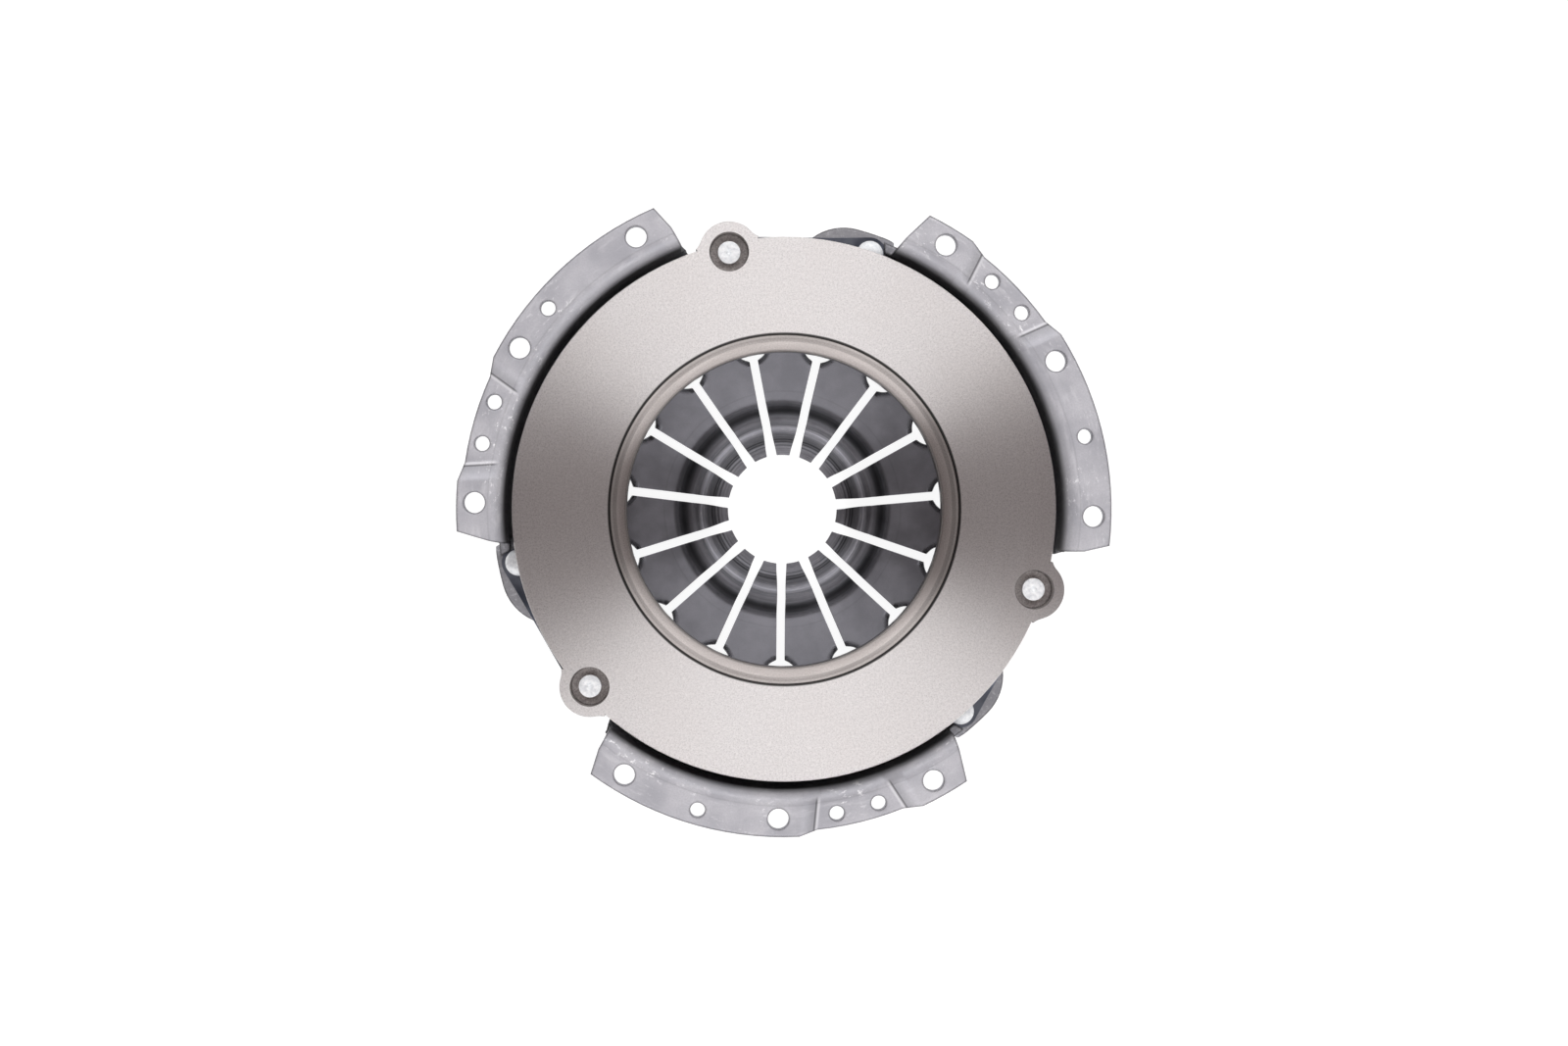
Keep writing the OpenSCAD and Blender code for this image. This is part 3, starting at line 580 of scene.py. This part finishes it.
class Grower(Wiring):
    """A geometry tree with named inputs."""

    def __init__(self, name, **inputs):
        tree = bpy.data.node_groups.new(name, "GeometryNodeTree")
        super().__init__(tree)
        for label, kind in inputs.items():
            tree.interface.new_socket(label, in_out="INPUT", socket_type=SOCKETS[kind])
        tree.interface.new_socket("geometry", in_out="OUTPUT", socket_type="NodeSocketGeometry")
        self.inputs = self.add("NodeGroupInput").outputs

    def turned(self, radius, angle, z=0.0):
        """The place at that radius and angle round the axis."""
        return self.add("ShaderNodeCombineXYZ", {
            0: self.times(radius, self.maths("COSINE", angle)),
            1: self.times(radius, self.maths("SINE", angle)), 2: z
        }).outputs[0]

    def around(self, shape, copies, first_angle, distance):
        """Copies of a shape evenly round the axis, at that distance from it."""
        points = self.add("GeometryNodeMeshLine", {"Count": copies, "Offset": (0, 0, 0)})
        number = self.add("GeometryNodeInputIndex").outputs[0]
        turn = self.plus(first_angle, self.over(self.times(number, math.tau), copies))
        placed = self.add("GeometryNodeSetPosition", {
            "Geometry": points.outputs[0], "Position": self.turned(distance, turn)
        })
        spin = self.add("ShaderNodeCombineXYZ", {0: 0.0, 1: 0.0, 2: turn})
        copied = self.add("GeometryNodeInstanceOnPoints", {
            "Points": placed.outputs[0], "Instance": shape, "Rotation": spin.outputs[0]
        })
        return self.add("GeometryNodeRealizeInstances", {0: copied.outputs[0]}).outputs[0]

    def done(self, geometry, material):
        last = self.add("GeometryNodeSetMaterial", {"Geometry": geometry, "Material": material})
        self.add("NodeGroupOutput", {0: last.outputs[0]})
        print("tree", self.tree.name, "nodes:", len(self.tree.nodes))
        return self.tree


def grow(name, tree, **values):
    piece = new_piece(name)
    modifier = piece.modifiers.new("grow", "NODES")
    modifier.node_group = tree
    for item in tree.interface.items_tree:
        if item.in_out == "INPUT":
            modifier[item.identifier] = values[item.name]
    return freeze(piece)


# %% [markdown]
# ## The diaphragm spring by rule
# The spring is one finger, drawn by a rule and repeated fifteen times. A flat grid is bent into the
# finger: its rows run outwards along the radius, and its columns spread over the angle that the slots and
# the round windows at their ends leave. Beyond the windows nothing is cut, so the sectors meet there and
# are welded to a closed cone. Cutting slots out of a cone with booleans would be shorter, but it leaves
# ragged faces that shade badly. The ring formed near the tips comes from a curve that is drawn once.


# %% The section of the spring
def rounded_line(points, radius, steps=5):
    """A line through the points with its corners rounded."""
    line = [Vector(points[0])]
    for before, corner, after in zip(points, points[1:], points[2:]):
        before, corner, after = Vector(before), Vector(corner), Vector(after)
        u, v = (corner - before).normalized(), (after - corner).normalized()
        reach = radius * math.tan(u.angle(v) / 2)
        a, b = corner - u * reach, corner + v * reach
        for k in range(steps + 1):
            s = k / steps
            line.append(a * (1 - s) ** 2 + corner * 2 * s * (1 - s) + b * s ** 2)
    line.append(Vector(points[-1]))
    return line


TIP_R = 23 * MM
RISE_END_R = 50 * MM
RISE_MAX = 8 * MM
# How far the middle of the sheet stands above the plain cone, at each corner of the formed ring
rise = rounded_line(
    [(TIP_R, 2.9 * MM), (27.5 * MM, 2.4 * MM), (38 * MM, 6.2 * MM), (44.8 * MM, 0), (RISE_END_R, 0)], 4 * MM
)
print("points on the formed ring:", len(rise))

# %% The finger's rows, from its tip past the window to the rim
spring = Grower(
    "diaphragm_spring", fingers="count", first_slot="angle", tip_r="length", rim_r="length", ridge_r="length",
    cone="ratio", slot_half="length", tip_flare="length", flare_start_r="length", flare_end_r="length",
    window_r="length", window_size="length", shoulder="angle", middle_z="length", rise_end_r="length",
    rise_max="length", rows_to_window="count", rows_of_window="count", rows_to_rim="count", columns="count",
    material="material",
)
i = spring.inputs
inner_rows = spring.plus(i["rows_to_window"], i["rows_of_window"])
all_rows = spring.plus(inner_rows, i["rows_to_rim"])
sheet = spring.add("GeometryNodeMeshGrid", {
    "Size X": 2.0, "Size Y": 1.0, "Vertices X": i["columns"], "Vertices Y": spring.plus(all_rows, 1.0)
})
flat = spring.add("ShaderNodeSeparateXYZ", {0: spring.add("GeometryNodeInputPosition").outputs[0]}).outputs
row = spring.times(spring.plus(flat[1], 0.5), all_rows)
finger_share = spring.over(row, i["rows_to_window"], clamp=True)
window_share = spring.over(spring.minus(row, i["rows_to_window"]), i["rows_of_window"], clamp=True)
rim_share = spring.over(spring.minus(row, inner_rows), i["rows_to_rim"], clamp=True)
window_start = spring.minus(i["window_r"], i["window_size"])
window_end = spring.plus(i["window_r"], i["window_size"])

# The rows of the window lie closer at both its ends, where its edge curves most
half_turn = spring.maths("COSINE", spring.times(window_share, math.pi))
r = spring.plus(i["tip_r"], spring.times(finger_share, spring.minus(window_start, i["tip_r"])))
r = spring.plus(r, spring.times(i["window_size"], spring.minus(1.0, half_turn)))
r = spring.plus(r, spring.times(rim_share, spring.minus(i["rim_r"], window_end)))
print("nodes for the rows:", len(spring.tree.nodes))

# %% How wide a finger is at each radius
# The slot is a little wider at the tips
flare = spring.times(i["tip_flare"], spring.between(r, i["flare_start_r"], i["flare_end_r"], 1.0, 0.0))
slot = spring.maths("ARCSINE", spring.over(spring.plus(i["slot_half"], flare), r))

# Half the angle that the round window takes at this radius, by the law of cosines
squares = spring.plus(spring.times(r, r), spring.times(i["window_r"], i["window_r"]))
squares = spring.minus(squares, spring.times(i["window_size"], i["window_size"]))
cosine = spring.over(squares, spring.times(2.0, spring.times(r, i["window_r"])))
window = spring.maths("ARCCOSINE", spring.maths("MINIMUM", cosine, 1.0))

# Slot and window flow together on the inner side, and the window closes by itself on the outer side
shoulder = spring.maths("SMOOTH_MAX", slot, window, i["shoulder"])
inside = spring.maths("LESS_THAN", r, i["window_r"])
gap = spring.plus(spring.times(inside, shoulder), spring.times(spring.minus(1.0, inside), window))
half_angle = spring.minus(spring.over(math.pi, i["fingers"]), gap)
phi = spring.times(flat[0], half_angle)
print("nodes with the slots:", len(spring.tree.nodes))

# %% The height of the sheet, and the fifteen fingers
drop = spring.times(spring.minus(i["ridge_r"], r), i["cone"])
bulge = spring.add("ShaderNodeFloatCurve", {1: spring.between(r, i["tip_r"], i["rise_end_r"], smooth=False)})
curve = bulge.mapping.curves[0]
while len(curve.points) < len(rise):
    curve.points.new(0.5, 0.5)
for point, (at_r, height) in zip(curve.points, rise):
    point.location = ((at_r - TIP_R) / (RISE_END_R - TIP_R), height / RISE_MAX)
    point.handle_type = "VECTOR"
bulge.mapping.update()
z = spring.plus(spring.minus(i["middle_z"], drop), spring.times(bulge.outputs[0], i["rise_max"]))
finger = spring.add("GeometryNodeSetPosition", {
    "Geometry": sheet.outputs[0], "Position": spring.turned(r, phi, z)
})
finger_middle = spring.plus(i["first_slot"], spring.over(math.pi, i["fingers"]))
star = spring.around(finger.outputs[0], i["fingers"], finger_middle, 0.0)
welded = spring.add("GeometryNodeMergeByDistance", {"Geometry": star, "Distance": 0.01 * MM})
spring_tree = spring.done(welded.outputs[0], i["material"])

# %% The sheet of the spring
FINGERS = 15
FIRST_SLOT = math.radians(270.4)
RIDGE_R = 94 * MM
CONE = math.tan(math.radians(14))
SPRING_Z = -24.3 * MM
SPRING_T = 2.4 * MM
SPRING_UPRIGHT_T = SPRING_T * math.sqrt(1 + CONE * CONE)

diaphragm = grow(
    "diaphragm_spring_fingers", spring_tree, fingers=FINGERS, first_slot=FIRST_SLOT, tip_r=TIP_R,
    rim_r=96.5 * MM, ridge_r=RIDGE_R, cone=CONE, slot_half=1.75 * MM, tip_flare=0.35 * MM,
    flare_start_r=24 * MM, flare_end_r=34 * MM, window_r=70.2 * MM, window_size=7.25 * MM, shoulder=0.03,
    middle_z=SPRING_Z - SPRING_UPRIGHT_T / 2, rise_end_r=RISE_END_R, rise_max=RISE_MAX,
    rows_to_window=56, rows_of_window=18, rows_to_rim=8, columns=9, material=hardened_steel,
)
if sum(face.normal.z * face.area for face in diaphragm.data.polygons) < 0:
    diaphragm.data.flip_normals()
print("faces of the sheet:", len(diaphragm.data.polygons))

# %% [markdown]
# ## The spring's thickness and its dark ends
# A Solidify modifier gives the sheet its thickness, and a fine bevel breaks its edges, as the shot blast does
# on a real spring. Both could be modelled in the tree, but the modifiers keep the rule short. The walls of
# the slots and windows stay in the spring's own steel, whose mask paints the edges of the windows black as
# shade. Only the sheared ends of the fingertips get the cut edge's near-black metal, which paints them in
# shade.

# %% Thickness and broken edges
thick = diaphragm.modifiers.new("thickness", "SOLIDIFY")
thick.thickness = SPRING_T
thick.offset = 0
thick.use_even_offset = True
soft = diaphragm.modifiers.new("edges", "BEVEL")
soft.width = 0.3 * MM
soft.segments = 2
soft.limit_method = "ANGLE"
soft.angle_limit = math.radians(50)
# Below the 22.5 degrees of the bevel's first facet, so that it doesn't tint the flat beside it
freeze(diaphragm, sharp=math.radians(21))
face_outwards(diaphragm)

# %% The fingertips' ends in painted shade, and the spring's mount
NEAR_TIP_R = 24 * MM
TOWARDS_AXIS = 0.8
LEANS_ASIDE = 0.25

# Set Material leaves an empty slot in front of its own, so the new slot is counted from the end
diaphragm.data.materials.append(cut_edge)
dark_slot = len(diaphragm.data.materials) - 1
for face in diaphragm.data.polygons:
    outwards = face.center.xy.normalized()
    inwards, aside = -face.normal.xy.dot(outwards), face.normal.xy.cross(outwards)
    if face.center.xy.length < NEAR_TIP_R and inwards > TOWARDS_AXIS and abs(aside) < LEANS_ASIDE:
        face.material_index = dark_slot
print("dark faces:", sum(face.material_index == dark_slot for face in diaphragm.data.polygons))
mount(diaphragm, "cover", "spring_steel", "diaphragm_spring")
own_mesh(diaphragm)

# %% [markdown]
# ## Turned rivets in rings
# Every rivet is a section turned about its own axis, and every kind stands in a ring about the axis of the
# clutch. One tree does both: it turns a section that is drawn as a line of points, welds its seam and
# poles, and sets copies round the ring. A Screw modifier could turn one rivet, but it would need a second
# step for the ring and leave both poles open.

# %% A section turned and repeated
lathe = Grower(
    "turned_in_a_ring", section="object", steps="count", copies="count", ring_r="length", first_angle="angle",
    material="material",
)
i = lathe.inputs
line = lathe.add("GeometryNodeObjectInfo", {"Object": i["section"]}).outputs["Geometry"]
count = lathe.add("GeometryNodeAttributeDomainSize", {0: line}).outputs["Point Count"]
sheet = lathe.add("GeometryNodeMeshGrid", {
    "Size X": 1.0, "Size Y": 1.0, "Vertices X": lathe.plus(i["steps"], 1.0), "Vertices Y": count
})
place = lathe.add("GeometryNodeInputPosition").outputs[0]
flat = lathe.add("ShaderNodeSeparateXYZ", {0: place}).outputs
turn = lathe.times(lathe.plus(flat[0], 0.5), math.tau)
step = lathe.maths("ROUND", lathe.times(lathe.plus(flat[1], 0.5), lathe.minus(count, 1.0)))
drawn = lathe.add("GeometryNodeSampleIndex", data_type="FLOAT_VECTOR", domain="POINT")
for label, value in (("Geometry", line), ("Value", place), ("Index", step)):
    lathe.feed(drawn.inputs[label], value)
spot = lathe.add("ShaderNodeSeparateXYZ", {0: drawn.outputs[0]}).outputs
bent = lathe.add("GeometryNodeSetPosition", {
    "Geometry": sheet.outputs[0], "Position": lathe.turned(spot[0], turn, spot[2])
})
closed = lathe.add("GeometryNodeMergeByDistance", {"Geometry": bent.outputs[0], "Distance": 0.002 * MM})
ring = lathe.around(closed.outputs[0], i["copies"], i["first_angle"], i["ring_r"])
lathe_tree = lathe.done(ring, i["material"])

# %% Rivets from sections
# The sections, and what they are measured from, are in millimetres
ON_AXIS = 0.01
SHANK_R = 3.45
ROOF_BACK = -38.145
EAR_BACK = -29.1


def formed_tail(back, reach, flat_r, tail_r, slant):
    """The hammered end, from its middle to the shank: it stands out by reach behind the sheet's back."""
    end = back - reach
    return [(ON_AXIS, end), (flat_r, end), (tail_r, end + slant), (tail_r, back), (SHANK_R, back)]


def turned_ring(name, section, copies, ring_r, first_angle, material, steps=40):
    drawing = bpy.data.meshes.new(name + "_section")
    points = [(p[0] * MM, 0, p[1] * MM) for p in section]
    drawing.from_pydata(points, [(k, k + 1) for k in range(len(points) - 1)], [])
    holder = new_piece(name + "_section", drawing)
    piece = grow(
        name, lathe_tree, section=holder, steps=steps, copies=copies, ring_r=ring_r,
        first_angle=first_angle, material=material
    )
    bpy.data.objects.remove(holder)
    face_outwards(piece)
    return piece


# %% The places of the two fulcrum rings
FULCRUM_R = 79.5 * MM
WIRE_R = 1.8 * MM
RING_GAP = 0.05 * MM


def ring_z(side):
    """Height of the middle of a fulcrum ring: side 1 is towards the flywheel, -1 towards the roof."""
    reach = (WIRE_R + RING_GAP) * math.sqrt(1 + CONE * CONE)
    top = SPRING_Z - (RIDGE_R - FULCRUM_R) * CONE
    return top + reach if side > 0 else top - SPRING_UPRIGHT_T - reach


print("rings at", round(ring_z(1), 5), round(ring_z(-1), 5))

# %% The spring rivets, with heads over the ring on the flywheel's side
SPRING_RIVET_R = 73.5 * MM

head = (ring_z(1) + WIRE_R + RING_GAP) / MM
section = [(0, ROOF_BACK - 2.0)] + rounded_line(
    formed_tail(ROOF_BACK, 2.0, 4.2, 5.5, 1.2) + [
        (SHANK_R, head), (7.8, head), (7.8, head + 1), (6.4, head + 2.4), (ON_AXIS, head + 2.4)
    ], 0.3, 2
) + [(0, head + 2.4)]
rivets = turned_ring("spring_rivet_ring", section, FINGERS, SPRING_RIVET_R, FIRST_SLOT, zinc_rivet)
mount(rivets, "cover", "rivet_steel", "spring_rivets")

# %% The strap rivets at the ears, with domed heads
STRAP_COVER_Z = -23 * MM
COVER_RIVET = (111.3 * MM, math.radians(72.6))

head = STRAP_COVER_Z / MM
dome = [polar(1, math.radians(a)) for a in range(0, 90, 9)]
dome = [(5.5 * across, head + 1.0 + 2.0 * high) for across, high in dome]
section = [(0, EAR_BACK - 2.2)] + rounded_line(
    formed_tail(EAR_BACK, 2.2, 4.0, 5.2, 1.2) + [(SHANK_R, head), (5.5, head), dome[0]], 0.25, 2
) + dome[1:] + [(0, head + 3.0)]
ear_rivets = turned_ring("ear_rivets", section, THIRDS, *COVER_RIVET, zinc_rivet, 56)
mount(ear_rivets, "cover", "rivet_steel", *[f"strap_cover_rivet_{k}" for k in (1, 2, 3)])

# %% The strap rivets in the sunk seats of the lugs, with a dimple in each head
FACE_Z = -5 * MM
BACK_Z = -15.5 * MM
SEAT_Z = FACE_Z - 6 * MM
STACK_T = 2.1 * MM
PLATE_RIVET = (106.8 * MM, math.radians(103.5))

head = SEAT_Z / MM
leaves_back = (BACK_Z - STACK_T) / MM
section = [(0, leaves_back - 3.0)] + rounded_line(
    formed_tail(leaves_back, 3.0, 4.1, 5.5, 1.6) + [
        (SHANK_R, head), (4.6, head), (4.6, head + 3.0), (1.4, head + 2.9), (0.7, head + 2.2),
        (ON_AXIS, head + 2.1)
    ], 0.3, 2
) + [(0, head + 2.1)]
lug_rivets = turned_ring("lug_rivets", section, THIRDS, *PLATE_RIVET, zinc_rivet, 56)
mount(lug_rivets, "pressure_plate", "rivet_steel", *[f"strap_plate_rivet_{k}" for k in (1, 2, 3)])

# %% [markdown]
# ## The two fulcrum rings
# Each ring is a length of drawn wire bent round until its ends nearly touch. A torus would be quicker, but
# it has no ends. The tree sweeps a small circle along an arc that stops just short of closing.

# %% Bent wire rings
bend = Grower(
    "bent_wire", ring_r="length", wire_r="length", gap="length", steps="count", wire_steps="count",
    material="material",
)
i = bend.inputs
arc = bend.add("GeometryNodeCurveArc", {"Resolution": i["steps"], "Radius": i["ring_r"]})
bend.feed(arc.inputs["Sweep Angle"], bend.minus(math.tau, bend.over(i["gap"], i["ring_r"])))
profile = bend.add("GeometryNodeCurvePrimitiveCircle", {"Resolution": i["wire_steps"], "Radius": i["wire_r"]})
tube = bend.add("GeometryNodeCurveToMesh", {
    "Curve": arc.outputs[0], "Profile Curve": profile.outputs[0], "Fill Caps": True
})
whole = bend.add("GeometryNodeRealizeInstances", {0: tube.outputs[0]})
wire_tree = bend.done(whole.outputs[0], i["material"])
for name, side in (("fulcrum_ring_plate_side", 1), ("fulcrum_ring_cover_side", -1)):
    ring_piece = grow(
        "wire_" + name, wire_tree, ring_r=FULCRUM_R, wire_r=WIRE_R, gap=0.8 * MM, steps=240,
        wire_steps=20, material=drawn_wire
    )
    ring_piece.data.transform(Matrix.Translation((0, 0, ring_z(side))))
    face_outwards(ring_piece)
    mount(ring_piece, "cover", "ring_wire", name)

# %% [markdown]
# ## Finished copies of CAD nodes
# The cover, the plate and the straps have forms that no simple rule gives, so a copy of each CAD mesh is
# welded and shaded. The CAD mesh itself is a heap of loose triangles and stays untouched. Smooth shading
# alone would leave stains on the flat faces beside each bend, where long thin triangles meet. So the
# normal of each corner is led by the largest faces around it, and flat faces keep their own.


# %% Shading that keeps flat faces flat
def shade_evenly(mesh, sharp):
    """Smooth shading where faces meet at a low angle, led by the larger face, and plain flat faces."""
    mesh.polygons.foreach_set("use_smooth", [True] * len(mesh.polygons))
    at_vertex = [[] for _ in mesh.vertices]
    for face in mesh.polygons:
        for v in face.vertices:
            at_vertex[v].append(face.index)
    normals = [face.normal.copy() for face in mesh.polygons]
    areas = [face.area for face in mesh.polygons]
    limit = math.cos(sharp)
    level = 0.9999
    corners = []
    for face in mesh.polygons:
        own = normals[face.index]
        for v in face.vertices:
            if abs(own.z) > level:
                corners.append(own)
                continue
            total = Vector()
            for other in at_vertex[v]:
                if normals[other].dot(own) > limit:
                    total += normals[other] * areas[other]
            corners.append(total.normalized())
    mesh.normals_split_custom_set(corners)


# %% Welded copies
def welded_copy(name, node, materials, sharp=math.radians(30)):
    """A copy of a node's mesh with its triangles joined up, evenly shaded, in its first material."""
    piece = new_piece(name, nodes[node].data.copy())
    piece.data.name = name
    piece.data.materials.clear()
    for material in materials:
        piece.data.materials.append(material)
    work = bmesh.new()
    work.from_mesh(piece.data)
    bmesh.ops.remove_doubles(work, verts=work.verts, dist=0.001 * MM)
    for face in work.faces:
        face.material_index = 0
    work.to_mesh(piece.data)
    work.free()
    shade_evenly(piece.data, sharp)
    return piece


# %% The pressed cover
cover = welded_copy("pressed_cover", "cover", [pressed_steel])
face_outwards(cover)
mount(cover, "cover", "cover_steel", "cover")

# %% [markdown]
# ## The pressure plate
# The plate is one casting with several surfaces: the friction face and the faces of the lugs are turned,
# the step and the bevel beside the bore are cut more coarsely, the sunk seats are dull, and the rest is
# cast skin. One material with masks could hold all four, but the anisotropic shader belongs to the cut
# faces alone, so each face of the copy is sorted by where it lies.

# %% The pressure plate
TURNED, BORED, SEAT, CAST = range(4)
SEAT_R = 8.1 * MM
STEP_R = 71.15 * MM
NEAR_FACE_Z = FACE_Z - 0.35 * MM

plate = welded_copy("iron_pressure_plate", "pressure_plate", [turned_iron, bored_iron, seat_iron, cast_iron])
lug_places = [polar(PLATE_RIVET[0], PLATE_RIVET[1] + k * math.tau / THIRDS) for k in range(THIRDS)]
for face in plate.data.polygons:
    centre = face.center
    by_lug = min((centre.xy - place).length for place in lug_places)
    if by_lug < SEAT_R and SEAT_Z - 0.1 * MM < centre.z < NEAR_FACE_Z:
        face.material_index = SEAT
    elif centre.z > NEAR_FACE_Z:
        face.material_index = TURNED
    elif centre.xy.length < STEP_R + 0.1 * MM and centre.z > BACK_Z + 0.3 * MM:
        face.material_index = BORED
    else:
        face.material_index = CAST
face_outwards(plate)
mount(plate, "pressure_plate", "plate_iron", "pressure_plate")

# %% [markdown]
# ## The drive straps
# Three packs of three thin leaves pull the plate round and let it move along the axis. Each leaf is riveted
# to the cover at one end and to the plate at the other, so it can ride on neither alone. Here each leaf is a
# welded copy of its CAD node, left where the CAD model puts it.

# %% The drive straps
HELD = 7.5 * MM

leaves = []
for pack in (1, 2, 3):
    turn = (pack - 1) * math.tau / THIRDS
    start = polar(COVER_RIVET[0], COVER_RIVET[1] + turn)
    end = polar(PLATE_RIVET[0], PLATE_RIVET[1] + turn)
    along = (end - start).normalized() * HELD
    for leaf in (1, 2, 3):
        node = f"strap_{pack}_leaf_{leaf}"
        strap = welded_copy("blued_" + node, node, [blued_steel])
        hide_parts(node)
        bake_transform(strap)
        leaves.append(strap)
print("leaves:", len(leaves), "each with faces:", len(leaves[0].data.polygons))

# %% [markdown]
# ## The floor and the light
# The part lies on a white floor, between two long soft lights above the upper and lower edge of the
# picture. The floor looks white to the camera and in reflections and still keeps a faint shadow. Stronger
# lamps would make it white as well, but they would bleach the part. Overhead the room is dim, so that the
# turned face is dark on both sides of its bright fans.

# %% The floor
FLOOR_Z = cad_box[0][2] - 0.05 * MM
FLOOR_REACH = 6.0

floor_mesh = bpy.data.meshes.new("floor")
floor_mesh.from_pydata(
    [(x * FLOOR_REACH, y * FLOOR_REACH, FLOOR_Z) for x, y in ((-1, -1), (1, -1), (1, 1), (-1, 1))],
    [], [(0, 1, 2, 3)]
)
floor = new_piece("floor", floor_mesh)
paper = bpy.data.materials.new("white_paper")
paper.use_nodes = True
paint = Wiring(paper.node_tree)
paper.node_tree.nodes.clear()
ray = paint.add("ShaderNodeLightPath").outputs
mirrored = paint.plus(ray["Is Glossy Ray"], ray["Is Transmission Ray"], clamp=True)
seen = paint.plus(ray["Is Camera Ray"], mirrored, clamp=True)
plain = paint.add("ShaderNodeBsdfDiffuse", {"Color": (0.8, 0.8, 0.8, 1)})
thin = paint.add("ShaderNodeBsdfDiffuse", {"Color": (0.22, 0.22, 0.22, 1)})
glow = paint.add("ShaderNodeEmission", {"Color": (1, 1, 1, 1), "Strength": 0.9})
bright = paint.add("ShaderNodeAddShader", {0: thin.outputs[0], 1: glow.outputs[0]})
mixed = paint.add("ShaderNodeMixShader", {0: seen, 1: plain.outputs[0], 2: bright.outputs[0]})
paint.add("ShaderNodeOutputMaterial", {0: mixed.outputs[0]})
floor_mesh.materials.append(paper)
print("floor at", round(FLOOR_Z, 5))

# %% The room
OVERHEAD = (0.15, 0.6)

world = bpy.data.worlds.new("studio")
bpy.context.scene.world = world
world.use_nodes = True
room = Wiring(world.node_tree)
world.node_tree.nodes.clear()
ray = room.add("ShaderNodeLightPath").outputs
mirrored = room.plus(ray["Is Glossy Ray"], ray["Is Transmission Ray"], clamp=True)
direction = room.add("ShaderNodeTexCoord").outputs["Generated"]
steepness = room.add("ShaderNodeSeparateXYZ", {0: direction}).outputs[2]
dimmed = room.times(room.between(steepness, *OVERHEAD, 1.0, 0.22), mirrored)
strength = room.plus(dimmed, room.times(room.minus(1.0, mirrored), 0.35))
strength = room.maths("MAXIMUM", strength, ray["Is Camera Ray"])
warmth = room.between(steepness, *OVERHEAD)
sky = room.add("ShaderNodeBackground", {
    "Color": room.blend(warmth, (1, 1, 1), (1, 0.87, 0.86)), "Strength": strength
})
room.add("ShaderNodeOutputWorld", {0: sky.outputs[0]})
print("room nodes:", len(room.tree.nodes))


# %% The two soft lights
def soft_light(name, place, size, radiance=2.15):
    """A long lamp that faces the part, as bright for its area as the other."""
    lamp = bpy.data.lights.new(name, "AREA")
    lamp.shape = "RECTANGLE"
    lamp.size, lamp.size_y = size
    lamp.energy = radiance * math.pi * size[0] * size[1]
    holder = bpy.data.objects.new(name, lamp)
    bpy.context.scene.collection.objects.link(holder)
    holder.location = place
    holder.rotation_euler = (-Vector(place)).to_track_quat("-Z", "Y").to_euler()
    print(name, "watts:", round(lamp.energy, 2))


soft_light("light_top", (0.05, 0.95, 1.05), (3.2, 0.9))
soft_light("light_bottom", (0.12, -0.95, 1.05), (3.1, 0.9))
bpy.context.scene.view_settings.view_transform = "Standard"

# %% [markdown]
# ## The CAD model's box
# The dressed part must fill the CAD model's box and no more. The CAD box is printed here.

# %% Print the CAD box
print("CAD box", [[round(v, 4) for v in corner] for corner in cad_box])
